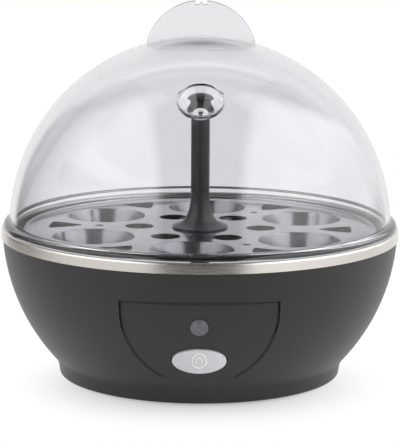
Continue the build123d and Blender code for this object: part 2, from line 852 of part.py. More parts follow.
with BuildPart() as housing:
    with BuildSketch(Plane.XZ) as bowl_section:
        with Locations((0, bowl_centre_height)):
            Circle(bowl_radius)
            Circle(bowl_radius - bowl_wall, mode=Mode.SUBTRACT)
        with Locations((0, cover_joint_height)):
            Rectangle(
                bowl_radius,
                bowl_rim_height - cover_joint_height,
                align=(Align.MIN, Align.MIN),
                mode=Mode.INTERSECT,
            )
        with BuildLine():
            Polyline(
                (bowl_foot_inside, cover_joint_height),
                (bowl_foot_radius, cover_joint_height),
                (bowl_radius_at(bowl_foot_height), bowl_foot_height),
                (bowl_foot_inside, bowl_foot_height),
                close=True,
            )
        make_face()
        with Locations((neck_radius, ledge_top - ledge_thickness)):
            Rectangle(
                neck_radius - neck_inner_radius + ledge_width,
                ledge_thickness,
                align=(Align.MAX, Align.MIN),
            )
        with Locations((neck_radius, bowl_rim_height)):
            Rectangle(
                neck_radius - neck_inner_radius,
                neck_top - bowl_rim_height,
                align=(Align.MAX, Align.MIN),
            )
    revolve(axis=Axis.Z)
    add(panel_backing.part)
    with BuildSketch(button_plane.offset(-collar_depth)) as button_collar:
        Ellipse(
            button_half_width + button_clearance + collar_wall,
            button_half_height + button_clearance + collar_wall,
        )
    extrude(amount=collar_depth)
    with BuildSketch(lens_plane.offset(-lamp_collar_depth)) as lamp_collar:
        Circle(lamp_pocket_radius + lamp_collar_wall)
    extrude(amount=lamp_collar_depth)
    with BuildSketch(button_plane.offset(-cradle_reach)) as cradle_sides:
        with Locations((cradle_inner, 0)):
            Rectangle(cradle_wall, switch_height, align=(Align.MIN, Align.CENTER))
        with Locations((-cradle_inner, 0)):
            Rectangle(cradle_wall, switch_height, align=(Align.MAX, Align.CENTER))
    extrude(amount=cradle_reach)
    with BuildSketch(Plane.XY.offset(stud_tower_foot)) as stud_towers:
        with PolarLocations(stud_ring_radius, stud_count, start_angle=90):
            Circle(stud_tower_radius)
            Rectangle(rib_reach, rib_thickness, align=(Align.MIN, Align.CENTER))
    extrude(amount=stud_tower_height)
    with BuildSketch(Plane.XY.offset(boss_foot)) as cover_bosses:
        with PolarLocations(cover_screw_ring, cover_screw_count, start_angle=45):
            Circle(boss_radius)
    extrude(amount=boss_height)
    with BuildSketch(Plane.XY.offset(boss_foot + boss_rib_rise)) as cover_boss_ribs:
        with PolarLocations(cover_screw_ring, cover_screw_count, start_angle=45):
            Rectangle(rib_reach, rib_thickness, align=(Align.MIN, Align.CENTER))
    extrude(amount=boss_height - boss_rib_rise)
    with BuildSketch(cord_plane.offset(-bowl_wall)) as cord_cup:
        Circle(cord_cup_radius)
    extrude(amount=bowl_radius)
    add(bowl_form.part, mode=Mode.INTERSECT)
    add(panel_recess.part, mode=Mode.SUBTRACT)
    with BuildSketch(button_plane.offset(-collar_depth)) as button_hole:
        Ellipse(button_half_width + button_clearance, button_half_height + button_clearance)
    extrude(amount=2 * collar_depth, mode=Mode.SUBTRACT)
    with BuildSketch(lens_plane.offset(-lamp_collar_depth)) as lens_hole:
        Circle(lens_radius + lens_clearance)
    extrude(amount=2 * lamp_collar_depth, mode=Mode.SUBTRACT)
    with BuildSketch(lens_plane.offset(-lamp_collar_depth)) as lamp_pocket:
        Circle(lamp_pocket_radius)
    extrude(amount=lamp_collar_depth - bowl_wall, mode=Mode.SUBTRACT)
    with BuildSketch(Plane.XY.offset(stud_tower_foot)) as stud_holes:
        with PolarLocations(stud_ring_radius, stud_count, start_angle=90):
            Circle(stud_radius + stud_clearance)
    extrude(amount=stud_tower_height, mode=Mode.SUBTRACT)
    with BuildSketch(Plane.XY.offset(boss_foot)) as cover_pilots:
        with PolarLocations(cover_screw_ring, cover_screw_count, start_angle=45):
            Circle(cover_screw_radius + thread_clearance)
    extrude(amount=boss_height - boss_radius / 2, mode=Mode.SUBTRACT)
    with BuildSketch(cord_plane) as cord_recess:
        Circle(cord_pad_radius)
    extrude(amount=bowl_radius, mode=Mode.SUBTRACT)
    with BuildSketch(cord_plane.offset(-bowl_wall)) as cord_hole:
        Circle(cord_bush_radius + cord_bush_clearance)
    extrude(amount=bowl_wall, mode=Mode.SUBTRACT)
housing.part.label = "housing"

# Push button, the plunger behind it and the switch
button_crown = (button_half_width**2 + button_edge_drop**2) / (2 * button_edge_drop)

with BuildPart() as push_button:
    with BuildSketch(button_plane.offset(button_flange_back)) as button_body:
        Ellipse(button_half_width, button_half_height)
    extrude(amount=button_proud - button_flange_back)
    with Locations(button_plane.offset(button_proud - button_crown)):
        Cylinder(button_crown, 4 * button_half_height, rotation=(90, 0, 0), mode=Mode.INTERSECT)
    button_rim = push_button.edges().filter_by(GeomType.BSPLINE).sort_by(button_axis)[-1]
    fillet(button_rim, button_edge_radius)
    with BuildSketch(button_plane.offset(button_flange_back)) as button_flange:
        Ellipse(button_half_width + button_flange_width, button_half_height + button_flange_width)
    extrude(amount=button_flange_height)
push_button.part.label = "push_button"

with BuildPart() as switch_plunger:
    with BuildSketch(button_plane.offset(button_flange_back)) as plunger_face:
        Circle(plunger_radius)
    extrude(amount=-plunger_length)
    fillet(switch_plunger.edges().sort_by(button_axis)[0], plunger_radius / 3)
switch_plunger.part.label = "switch_plunger"

with BuildPart() as switch_body:
    with BuildSketch(button_plane.offset(switch_front)) as switch_outline:
        RectangleRounded(switch_width, switch_height, switch_corner_radius)
    extrude(amount=-switch_depth)
    with BuildSketch(button_plane.offset(switch_front)) as plunger_bore:
        Circle(plunger_radius + plunger_clearance)
    extrude(amount=-(plunger_length - switch_gap), mode=Mode.SUBTRACT)
switch_body.part.label = "switch_body"

# Indicator light: a domed lens pushed through from inside, a lamp and its holder
lens_back = -(bowl_wall + lens_flange_gap + lens_flange_height)
lens_crown_radius = (lens_radius**2 + lens_crown**2) / (2 * lens_crown)
lamp_holder_end = lens_back - lamp_holder_length
lamp_end = lamp_holder_end + lamp_holder_back

with BuildPart() as indicator_lens:
    with BuildSketch(lens_plane.offset(lens_back)) as lens_flange:
        Circle(lens_flange_radius)
    extrude(amount=lens_flange_height)
    with BuildSketch(lens_plane.offset(lens_back)) as lens_barrel:
        Circle(lens_radius)
    extrude(amount=lens_proud + lens_crown - lens_back)
    with Locations(lens_plane.offset(lens_proud + lens_crown - lens_crown_radius)):
        Sphere(lens_crown_radius, mode=Mode.INTERSECT)
indicator_lens.part.label = "indicator_lens"

with BuildPart() as lamp_holder:
    with BuildSketch(lens_plane.offset(lens_back)) as holder_face:
        Circle(lens_flange_radius)
    extrude(amount=-lamp_holder_length)
    with BuildSketch(lens_plane.offset(lens_back)) as holder_bore:
        Circle(lamp_radius + lamp_clearance)
    extrude(amount=-(lamp_holder_length - lamp_holder_back), mode=Mode.SUBTRACT)
lamp_holder.part.label = "lamp_holder"

with BuildPart() as indicator_lamp:
    with BuildSketch(lens_plane.offset(lamp_end)) as lamp_face:
        Circle(lamp_radius)
    extrude(amount=lamp_length)
    fillet(indicator_lamp.edges().sort_by(lens_axis)[-1], lamp_radius / 2)
indicator_lamp.part.label = "indicator_lamp"

# Base cover: a tapered ring that the cooker stands on, a floor, a locating ring inside the
# bowl, and four posts with screw wells
spigot_outer = bowl_radius_at(cover_joint_height, bowl_wall) - cover_spigot_clearance
spigot_inner = spigot_outer - cover_spigot_wall
cover_floor_top = cover_floor_height + cover_floor

with BuildPart() as base_cover:
    with BuildSketch(Plane.XZ) as cover_section:
        with BuildLine():
            Polyline(
                (0, cover_floor_height),
                (cover_foot_radius - cover_ring_wall, cover_floor_height),
                (cover_foot_radius - cover_ring_wall, foot_stand),
                (cover_foot_radius, foot_stand),
                (cover_top_radius, cover_joint_height),
                (spigot_outer, cover_joint_height),
                (spigot_outer, cover_joint_height + cover_spigot_height),
                (spigot_inner, cover_joint_height + cover_spigot_height),
                (spigot_inner, cover_floor_top),
                (0, cover_floor_top),
                close=True,
            )
        make_face()
        outer_corner = (cover_foot_radius, foot_stand)
        fillet(cover_section.vertices().sort_by_distance(outer_corner)[0], cover_edge_radius)
    revolve(axis=Axis.Z)
    with BuildSketch(Plane.XY.offset(cover_floor_height)) as cover_posts:
        with PolarLocations(cover_screw_ring, cover_screw_count, start_angle=45):
            Circle(cover_post_radius)
    extrude(amount=cover_post_top - cover_floor_height)
    with BuildSketch(Plane.XY.offset(cover_floor_height)) as cover_wells:
        with PolarLocations(cover_screw_ring, cover_screw_count, start_angle=45):
            Circle(cover_screw_head_radius + cover_well_clearance)
    extrude(amount=cover_well_top - cover_floor_height, mode=Mode.SUBTRACT)
    with BuildSketch(Plane.XY.offset(cover_floor_height)) as cover_holes:
        with PolarLocations(cover_screw_ring, cover_screw_count, start_angle=45):
            Circle(cover_screw_radius + thread_clearance)
        with PolarLocations(foot_ring_radius, foot_count):
            Circle(foot_stem_radius + foot_stem_clearance)
    extrude(amount=cover_post_top - cover_floor_height, mode=Mode.SUBTRACT)
base_cover.part.label = "base_cover"

with BuildPart() as cover_screws:
    with BuildSketch(Plane.XY.offset(cover_well_top)) as cover_screw_heads:
        with PolarLocations(cover_screw_ring, cover_screw_count, start_angle=45):
            Circle(cover_screw_head_radius)
    extrude(amount=-cover_screw_head_height)
    with BuildSketch(Plane.XY.offset(cover_well_top)) as cover_screw_shanks:
        with PolarLocations(cover_screw_ring, cover_screw_count, start_angle=45):
            Circle(cover_screw_radius)
    extrude(amount=cover_screw_length)
cover_screws.part.label = "cover_screws"

# Rubber feet: each has a stem through the cover's floor and a head that holds it
with BuildPart() as rubber_feet:
    with BuildSketch(Plane.XY) as foot_pads:
        with PolarLocations(foot_ring_radius, foot_count):
            Circle(foot_radius)
    extrude(amount=cover_floor_height)
    fillet(rubber_feet.edges().group_by(Axis.Z)[0], foot_edge_radius)
    with BuildSketch(Plane.XY.offset(cover_floor_height)) as foot_stems:
        with PolarLocations(foot_ring_radius, foot_count):
            Circle(foot_stem_radius)
    extrude(amount=cover_floor)
    with BuildSketch(Plane.XY.offset(cover_floor_top)) as foot_heads:
        with PolarLocations(foot_ring_radius, foot_count):
            Circle(foot_head_radius)
    extrude(amount=foot_head_height)
rubber_feet.part.label = "rubber_feet"

# Cord outlet: a rubber bush in the recess at the back
with BuildPart() as cord_bush:
    with BuildSketch(cord_plane) as bush_flange:
        Circle(cord_bush_flange_radius)
    extrude(amount=cord_bush_flange)
    fillet(cord_bush.edges().group_by(Axis.Y)[-1], cord_bush_edge_radius)
    with BuildSketch(cord_plane) as bush_barrel:
        Circle(cord_bush_radius)
    extrude(amount=cord_bush_flange - cord_bush_length)
    with BuildSketch(cord_plane.offset(cord_bush_flange)) as bush_bore:
        Circle(cord_bore_radius)
    extrude(amount=-cord_bush_length, mode=Mode.SUBTRACT)
cord_bush.part.label = "cord_bush"

# Terminal block on the cover's floor
block_setback = spigot_inner - block_gap - block_width / 2

with BuildPart() as terminal_block:
    with BuildSketch(Plane.XY.offset(cover_floor_top)) as block_outline:
        with Locations((0, block_setback)):
            RectangleRounded(block_length, block_width, block_corner_radius)
    extrude(amount=block_height)
    with BuildSketch(Plane.XY.offset(cover_floor_top + block_height)) as block_wells:
        with Locations((0, block_setback)):
            with GridLocations(block_pitch, 0, block_ways, 1):
                Circle(block_well_radius)
    extrude(amount=-block_well_depth, mode=Mode.SUBTRACT)
terminal_block.part.label = "terminal_block"

# One file for each piece
pieces = [
    lid,
    egg_tray,
    egg_cups,
    rack_handle,
    handle_washer,
    handle_screw,
    steel_band,
    water_pan,
    pan_seal,
    heater_plate,
    heating_element,
    heater_terminals,
    thermostat,
    thermostat_bracket,
    thermal_fuse,
    fuse_clip,
    heater_screws,
    pan_studs,
    pan_nuts,
    housing,
    push_button,
    switch_plunger,
    switch_body,
    indicator_lens,
    lamp_holder,
    indicator_lamp,
    base_cover,
    cover_screws,
    rubber_feet,
    cord_bush,
    terminal_block,
]

for piece in pieces:
    export_step(piece.part, f"parts/{piece.part.label}.step")
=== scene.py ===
# %% [markdown]
# # An electric egg cooker, dressed in Blender
#
# The model comes as a frame: solids in metres, +Z up, front towards -Y, each one already on
# the body that it moves with. This file builds a photo studio round them and gives them their
# finishes. It makes the clear lid again as a very even mesh, and adds a few small pieces.

from math import acos, asin, atan2, cos, hypot, pi, radians, sin, sqrt

import bmesh
import bpy
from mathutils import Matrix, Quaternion, Vector
from mathutils.bvhtree import BVHTree


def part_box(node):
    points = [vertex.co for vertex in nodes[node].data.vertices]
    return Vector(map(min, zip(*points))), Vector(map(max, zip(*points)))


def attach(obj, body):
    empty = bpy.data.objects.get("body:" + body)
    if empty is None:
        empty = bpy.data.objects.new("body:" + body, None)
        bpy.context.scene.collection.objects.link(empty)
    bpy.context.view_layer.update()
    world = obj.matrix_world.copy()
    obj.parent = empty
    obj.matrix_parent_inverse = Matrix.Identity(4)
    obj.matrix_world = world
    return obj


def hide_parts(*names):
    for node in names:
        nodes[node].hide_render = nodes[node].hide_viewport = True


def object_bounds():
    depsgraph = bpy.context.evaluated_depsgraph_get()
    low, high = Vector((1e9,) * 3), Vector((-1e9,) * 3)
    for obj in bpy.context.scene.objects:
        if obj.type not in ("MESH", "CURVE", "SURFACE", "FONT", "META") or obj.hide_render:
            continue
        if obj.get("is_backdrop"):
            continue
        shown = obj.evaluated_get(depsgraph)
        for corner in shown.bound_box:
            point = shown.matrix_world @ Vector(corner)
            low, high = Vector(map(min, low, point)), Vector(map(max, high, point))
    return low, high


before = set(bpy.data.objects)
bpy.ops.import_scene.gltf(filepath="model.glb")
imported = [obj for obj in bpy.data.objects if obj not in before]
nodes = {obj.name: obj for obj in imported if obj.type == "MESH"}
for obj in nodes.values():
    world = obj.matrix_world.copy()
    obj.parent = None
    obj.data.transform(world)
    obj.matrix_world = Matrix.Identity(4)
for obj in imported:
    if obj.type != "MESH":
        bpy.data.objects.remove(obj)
solid_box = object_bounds()
scene = bpy.context.scene
MM = 0.001
print("nodes:", len(nodes), "box:", [[round(v, 4) for v in corner] for corner in solid_box])

# %% [markdown]
# ## The camera
#
# The photograph was taken from a little over a metre away with a long lens, so the ellipses
# of the rim stay flat and nothing bulges. A camera in Blender is an object with a lens in
# millimetres over a sensor of 36 mm. Here it stands in front of the cooker, 11 degrees up,
# looks at a point on its axis, and is rolled by a third of a degree, as the photograph is.
# The numbers were fitted to the ellipses of the rim and of the rack's openings.

# %% Camera
SENSOR_HEIGHT = 36.0
LENS = 193.8
CAMERA_BACK = 1127.5 * MM
CAMERA_HEIGHT = 281.4 * MM
AIM_HEIGHT = 71.9 * MM
CAMERA_ROLL = radians(0.33)
camera_data = bpy.data.cameras.new("product_camera")
camera_data.sensor_fit = "VERTICAL"
camera_data.sensor_height = SENSOR_HEIGHT
camera_data.lens = LENS
camera = bpy.data.objects.new("product_camera", camera_data)
scene.collection.objects.link(camera)
camera.location = (0.0, -CAMERA_BACK, CAMERA_HEIGHT)
aim = Vector((0.0, 0.0, AIM_HEIGHT))
towards_cooker = (aim - camera.location).to_track_quat("-Z", "Y")
rolled = Quaternion((0.0, 0.0, 1.0), CAMERA_ROLL)
camera.rotation_euler = (towards_cooker @ rolled).to_euler()
scene.camera = camera
print("camera distance:", round((aim - camera.location).length, 4), "m")

# %% [markdown]
# ## Node helpers
#
# The world, the floor and the finishes are all node trees. Three small helpers keep them
# short: one feeds a socket, one does a sum, and one is a soft step between two values.


# %% Helpers for node trees
def feed(tree, value, socket):
    """Feed a socket from another node, or set it to a plain number."""
    if isinstance(value, bpy.types.NodeSocket):
        tree.links.new(value, socket)
    else:
        socket.default_value = value


def calc(tree, operation, *values):
    """One Math node, and the value that it gives."""
    node = tree.nodes.new("ShaderNodeMath")
    node.operation = operation
    for value, socket in zip(values, node.inputs):
        feed(tree, value, socket)
    return node.outputs[0]


def soft_step(tree, value, start, end, low=0.0, high=1.0):
    """A smooth change from low at start to high at end."""
    node = tree.nodes.new("ShaderNodeMapRange")
    node.interpolation_type = "SMOOTHSTEP"
    node.inputs["From Min"].default_value = start
    node.inputs["From Max"].default_value = end
    node.inputs["To Min"].default_value = low
    node.inputs["To Max"].default_value = high
    tree.links.new(value, node.inputs["Value"])
    return node.outputs["Result"]


# %% [markdown]
# ## The room
#
# The cooker stands in a small photo studio. Behind it hangs a white sheet, to the left and
# right are two large softboxes, and the side where the photographer stands is dark. Polished
# and clear pieces are drawn by what they reflect, so this room matters more than the strength
# of the lamps. It could be built from bright panels, but a world shader needs no objects: it
# takes the direction in which a ray looks, and says how bright the room is there. The sheet
# gives the dome its pale top, the softboxes give its two bright patches, and the dark side
# gives the steel band its shaded middle. The softboxes are brighter high up, and fade towards
# the back, as a lamp does at the edge of its cloth.

# %% The room as a world
SHEET_LEVEL = 1.0
DARK_LEVEL_BACK = 0.24
DARK_LEVEL_FRONT = 0.07
BOX_LOW_Z = 0.15
BOX_HIGH_Z = 0.6
world = bpy.data.worlds.new("white_studio")
scene.world = world
world.use_nodes = True
room = world.node_tree
room.nodes.clear()
looking = room.nodes.new("ShaderNodeSeparateXYZ")
room.links.new(room.nodes.new("ShaderNodeTexCoord").outputs["Generated"], looking.inputs[0])
look_x, look_y, look_z = looking.outputs


def softbox(edge_x, full_x, low_level, high_level, back_start, back_end, back_share):
    """A softbox that starts at look_x = edge_x. Towards the back it fades to back_share."""
    level = soft_step(room, look_z, BOX_LOW_Z, BOX_HIGH_Z, low_level, high_level)
    fade = soft_step(room, look_y, back_start, back_end, back_share, 1.0)
    width = soft_step(room, look_x, edge_x, full_x)
    return calc(room, "MULTIPLY", width, calc(room, "MULTIPLY", level, fade))


left_box = softbox(-0.33, -0.47, 1.35, 2.3, 0.65, -0.15, 0.1)
right_box = softbox(0.34, 0.5, 1.7, 2.5, 0.85, 0.5, 0.6)
above_floor = soft_step(room, look_z, -0.3, 0.05)
back_top_edge = soft_step(room, calc(room, "ADD", look_y, look_z), 1.18, 0.98)
boxes = calc(room, "MAXIMUM", left_box, right_box)
boxes = calc(room, "MULTIPLY", boxes, above_floor)
boxes = calc(room, "MULTIPLY", boxes, back_top_edge)
sheet = soft_step(room, look_y, 0.46, 0.54, 0.0, SHEET_LEVEL)
sheet_left_end = soft_step(room, look_x, -0.66, -0.5)
sheet = calc(room, "MULTIPLY", sheet, sheet_left_end)
dark_side = soft_step(room, look_y, 0.4, -0.9, DARK_LEVEL_BACK, DARK_LEVEL_FRONT)
room_level = calc(room, "MAXIMUM", calc(room, "MAXIMUM", sheet, dark_side), boxes)
print("room:", len(room.nodes), "nodes")

# %% [markdown]
# ## A white background
#
# The photograph's background is plain white. More light would also bleach the cooker, so the
# white is painted instead: a ray that comes straight from the camera, or through clear pieces
# only, sees a world of plain white. All other rays see the room. The Light Path node tells
# them apart, because it knows how often a ray was mirrored or scattered on its way. The
# Standard view transform then leaves white as white in the picture.


# %% White for the camera
def seen_straight(tree):
    """1 for a ray from the camera that met nothing but clear pieces, else 0."""
    rays = tree.nodes.new("ShaderNodeLightPath")
    straight = calc(tree, "MAXIMUM", rays.outputs["Is Camera Ray"], rays.outputs["Is Transmission Ray"])
    bounces = calc(tree, "ADD", rays.outputs["Glossy Depth"], rays.outputs["Diffuse Depth"])
    return calc(tree, "MULTIPLY", straight, calc(tree, "LESS_THAN", bounces, 0.5))


scene.view_settings.view_transform = "Standard"
room_light = room.nodes.new("ShaderNodeBackground")
room_light.inputs["Color"].default_value = (1.0, 1.0, 1.0, 1.0)
room.links.new(room_level, room_light.inputs["Strength"])
room_white = room.nodes.new("ShaderNodeBackground")
room_white.inputs["Color"].default_value = (1.0, 1.0, 1.0, 1.0)
room_white.inputs["Strength"].default_value = 1.0
room_mix = room.nodes.new("ShaderNodeMixShader")
room.links.new(seen_straight(room), room_mix.inputs[0])
room.links.new(room_light.outputs[0], room_mix.inputs[1])
room.links.new(room_white.outputs[0], room_mix.inputs[2])
room.links.new(room_mix.outputs[0], room.nodes.new("ShaderNodeOutputWorld").inputs["Surface"])
print("white background for the camera, the room for everything else")

# %% [markdown]
# ## Lamps
#
# The room lights the cooker softly from all sides. Three area lamps give it more form: two weak
# ones where the softboxes stand, and a stronger one above and behind, which lays the soft
# shadow in front of the cooker. The room already holds the softboxes' reflections, so the lamps
# are hidden from mirrored rays.


# %% Three lamps
def studio_lamp(name, size, place, power):
    """A rectangular area lamp that looks at the cooker."""
    lamp_data = bpy.data.lights.new(name, "AREA")
    lamp_data.shape = "RECTANGLE"
    lamp_data.size, lamp_data.size_y = size
    lamp_data.energy = power
    lamp = bpy.data.objects.new(name, lamp_data)
    scene.collection.objects.link(lamp)
    lamp.location = place
    cooker_middle = Vector((0.0, 0.0, 0.1))
    lamp.rotation_euler = (cooker_middle - lamp.location).to_track_quat("-Z", "Y").to_euler()
    lamp.visible_glossy = False


studio_lamp("softbox_left", (0.8, 1.0), (-0.95, -0.25, 0.75), 0.9)
studio_lamp("softbox_right", (0.8, 1.0), (0.95, -0.25, 0.75), 1.3)
studio_lamp("lamp_behind", (1.4, 1.0), (0.0, 0.6, 1.3), 3.0)

# %% [markdown]
# ## Making a finish
#
# A finish is a node tree: a Principled shader whose roughness and bump come from textures
# that are worked out in the object's own coordinates, so they need no image and no unwrapping.
# The first helpers each add one thing to such a tree. Most of Blender's noise lies between
# 0.3 and 0.7, so that part of it is spread over the range that is wanted.

# %% Helpers for finishes
NOISE_LOW = 0.3
NOISE_HIGH = 0.7


def new_finish(name):
    """A new material with only a Principled shader, and that shader."""
    finish = bpy.data.materials.new(name)
    finish.use_nodes = True
    return finish, finish.node_tree.nodes["Principled BSDF"]


def add_node(finish, kind, **values):
    """Add one node to a finish and set its properties."""
    node = finish.node_tree.nodes.new(kind)
    for key, value in values.items():
        setattr(node, key, value)
    return node


def link(finish, source, target):
    """Join two sockets of a finish."""
    finish.node_tree.links.new(source, target)


def grain(finish, size_mm, detail, stretch=(1.0, 1.0, 1.0)):
    """Noise with spots of about size_mm, measured on the object itself."""
    place = add_node(finish, "ShaderNodeTexCoord")
    mapping = add_node(finish, "ShaderNodeMapping")
    mapping.inputs["Scale"].default_value = stretch
    noise = add_node(finish, "ShaderNodeTexNoise")
    noise.inputs["Scale"].default_value = 1.0 / (size_mm * MM)
    noise.inputs["Detail"].default_value = detail
    link(finish, place.outputs["Object"], mapping.inputs["Vector"])
    link(finish, mapping.outputs["Vector"], noise.inputs["Vector"])
    return noise.outputs["Fac"]


def spread(finish, value, low, high):
    """Spread noise over the range from low to high."""
    node = add_node(finish, "ShaderNodeMapRange")
    node.inputs["From Min"].default_value = NOISE_LOW
    node.inputs["From Max"].default_value = NOISE_HIGH
    node.inputs["To Min"].default_value = low
    node.inputs["To Max"].default_value = high
    link(finish, value, node.inputs["Value"])
    return node.outputs["Result"]


def relief(finish, shader, value, depth_mm):
    """Bump the surface by a height in millimetres."""
    node = add_node(finish, "ShaderNodeBump")
    node.inputs["Distance"].default_value = depth_mm * MM
    node.inputs["Strength"].default_value = 1.0
    link(finish, value, node.inputs["Height"])
    link(finish, node.outputs["Normal"], shader.inputs["Normal"])


def tint(finish, shader, value, dark, light):
    """Let the colour wander between two near tones."""
    node = add_node(finish, "ShaderNodeMix", data_type="RGBA")
    node.inputs["A"].default_value = (*dark, 1.0)
    node.inputs["B"].default_value = (*light, 1.0)
    link(finish, value, node.inputs["Factor"])
    link(finish, node.outputs["Result"], shader.inputs["Base Color"])


# %% [markdown]
# ## Three kinds of material
#
# Moulded plastic and rubber have a fine eroded grain from the mould, and a tone that is never
# quite even. Bare sheet metal is smooth, but its gloss wanders with rolling marks and handling.
# The band is brushed along its ring, so its noise is laid in rolled-out coordinates: long the
# way round and fine across. One function for each kind keeps all the finishes alike.


# %% Functions for the three kinds
def moulded(name, colour, roughness, grain_mm, depth_mm):
    """Moulded plastic or rubber."""
    finish, shader = new_finish(name)
    fine = grain(finish, grain_mm, 4.0)
    broad = grain(finish, 22.0, 2.0)
    dark = tuple(c * 0.88 for c in colour)
    light = tuple(min(1.0, c * 1.12) for c in colour)
    tint(finish, shader, spread(finish, broad, 0.0, 1.0), dark, light)
    gloss = spread(finish, fine, roughness * 0.9, min(1.0, roughness * 1.12))
    link(finish, gloss, shader.inputs["Roughness"])
    relief(finish, shader, fine, depth_mm)
    return finish


def sheet_metal(name, colour, roughness, streak_mm=0.5, stretch=(1.0, 1.0, 1.0), depth_mm=0.002):
    """Bare metal."""
    finish, shader = new_finish(name)
    shader.inputs["Metallic"].default_value = 1.0
    fine = grain(finish, streak_mm, 5.0, stretch)
    broad = grain(finish, 18.0, 2.0)
    dark = tuple(c * 0.93 for c in colour)
    tint(finish, shader, spread(finish, broad, 0.0, 1.0), dark, colour)
    gloss = spread(finish, fine, roughness * 0.75, roughness * 1.3)
    link(finish, gloss, shader.inputs["Roughness"])
    relief(finish, shader, fine, depth_mm)
    return finish


def brushed_ring(name, colour, roughness, radius_mm, line_mm, run_mm, depth_mm):
    """Metal brushed along a ring: lines of line_mm, each about run_mm long."""
    finish, shader = new_finish(name)
    shader.inputs["Metallic"].default_value = 1.0
    shader.inputs["Base Color"].default_value = (*colour, 1.0)
    tree = finish.node_tree
    place = add_node(finish, "ShaderNodeTexCoord")
    parts = add_node(finish, "ShaderNodeSeparateXYZ")
    link(finish, place.outputs["Object"], parts.inputs[0])
    turn = calc(tree, "ARCTAN2", parts.outputs[1], parts.outputs[0])
    rolled_out = add_node(finish, "ShaderNodeCombineXYZ")
    link(finish, calc(tree, "MULTIPLY", turn, radius_mm / run_mm), rolled_out.inputs[0])
    link(finish, calc(tree, "DIVIDE", parts.outputs[2], line_mm * MM), rolled_out.inputs[1])
    lines = add_node(finish, "ShaderNodeTexNoise")
    lines.inputs["Scale"].default_value = 1.0
    lines.inputs["Detail"].default_value = 3.0
    link(finish, rolled_out.outputs[0], lines.inputs["Vector"])
    gloss = spread(finish, lines.outputs["Fac"], roughness * 0.8, roughness * 1.25)
    link(finish, gloss, shader.inputs["Roughness"])
    relief(finish, shader, lines.outputs["Fac"], depth_mm)
    return finish


def dress(finish, *names):
    """Put a finish on solids of the frame, by their node names."""
    for name in names:
        mesh = nodes[name].data
        mesh.materials.clear()
        mesh.materials.append(finish)
    print(f"{finish.name}: {', '.join(names)}")


# %% [markdown]
# ## Plastic and rubber
#
# The bowl is matte charcoal plastic with a fine grain, and the post is satin black plastic.
# The button looks like silver but is painted plastic, so its finish isn't metallic. The small
# pieces inside the closed bowl are nylon, ceramic and a woven sleeve.

# %% Plastic, rubber and ceramic
bowl_finish = moulded("charcoal_plastic", (0.0115, 0.0113, 0.0124), 0.42, 0.35, 0.006)
post_finish = moulded("satin_black_plastic", (0.022, 0.0215, 0.024), 0.33, 0.5, 0.004)
rubber_finish = moulded("black_rubber", (0.018, 0.018, 0.018), 0.7, 0.4, 0.02)
seal_finish = moulded("pale_silicone", (0.62, 0.62, 0.60), 0.6, 0.6, 0.01)
nylon_finish = moulded("pale_nylon", (0.66, 0.65, 0.6), 0.5, 0.5, 0.008)
ceramic_finish = moulded("white_ceramic", (0.72, 0.7, 0.66), 0.25, 0.8, 0.004)
sleeve_finish = moulded("woven_sleeve", (0.6, 0.57, 0.48), 0.8, 0.5, 0.08)
button_finish = moulded("satin_silver", (0.62, 0.62, 0.645), 0.3, 0.3, 0.003)
lens_finish = moulded("smoked_lens", (0.13, 0.125, 0.15), 0.14, 0.8, 0.004)
lamp_finish = moulded("lamp_body", (0.55, 0.35, 0.25), 0.2, 0.8, 0.002)
dress(bowl_finish, "housing", "base_cover")
dress(post_finish, "rack_handle")
dress(rubber_finish, "rubber_feet", "cord_bush")
dress(seal_finish, "pan_seal")
dress(nylon_finish, "switch_body", "switch_plunger", "lamp_holder", "terminal_block")
dress(ceramic_finish, "heater_terminals", "thermostat")
dress(sleeve_finish, "thermal_fuse")
dress(button_finish, "push_button")
dress(lens_finish, "indicator_lens")
dress(lamp_finish, "indicator_lamp")

# %% [markdown]
# ## Metal
#
# The rack is polished steel, and its cups are drawn from it in a press, which leaves fine rings
# round them. The noise of the cups is stretched flat to draw those rings. The band is brushed
# warm steel, and the screws and brackets are zinc plated.

# %% Steel, zinc and aluminium
LEVEL_STREAKS = (0.03, 0.03, 1.0)
tray_finish = sheet_metal("polished_steel", (0.315, 0.315, 0.333), 0.12, 0.8, depth_mm=0.001)
cup_finish = sheet_metal("drawn_steel", (0.32, 0.32, 0.335), 0.2, 0.45, LEVEL_STREAKS, 0.0012)
pan_finish = sheet_metal("satin_pan_steel", (0.5, 0.5, 0.5), 0.3, 0.6)
zinc_finish = sheet_metal("zinc_plate", (0.5, 0.52, 0.54), 0.35)
plate_finish = sheet_metal("cast_aluminium", (0.6, 0.61, 0.62), 0.45)
heater_finish = sheet_metal("heater_tube_steel", (0.22, 0.21, 0.2), 0.4)
band_finish = brushed_ring("brushed_band_steel", (0.66, 0.63, 0.59), 0.24, 94.0, 0.16, 14.0, 0.0012)
dress(tray_finish, "egg_tray")
dress(cup_finish, "egg_cups")
dress(pan_finish, "water_pan")
dress(zinc_finish, "handle_washer", "handle_screw", "cover_screws", "pan_studs", "pan_nuts")
dress(zinc_finish, "thermostat_bracket", "fuse_clip", "heater_screws")
dress(plate_finish, "heater_plate")
dress(heater_finish, "heating_element")
dress(band_finish, "steel_band")

# %% [markdown]
# ## Clear plastic
#
# The lid is clear moulded plastic, a little grey where one looks through much of it. That
# grey is a volume that takes light away with depth, so the edges come out darker than the
# middle by themselves. Light through glass makes slow and noisy shadows in a path tracer.
# So for shadow rays alone the lid is a plain see-through film.

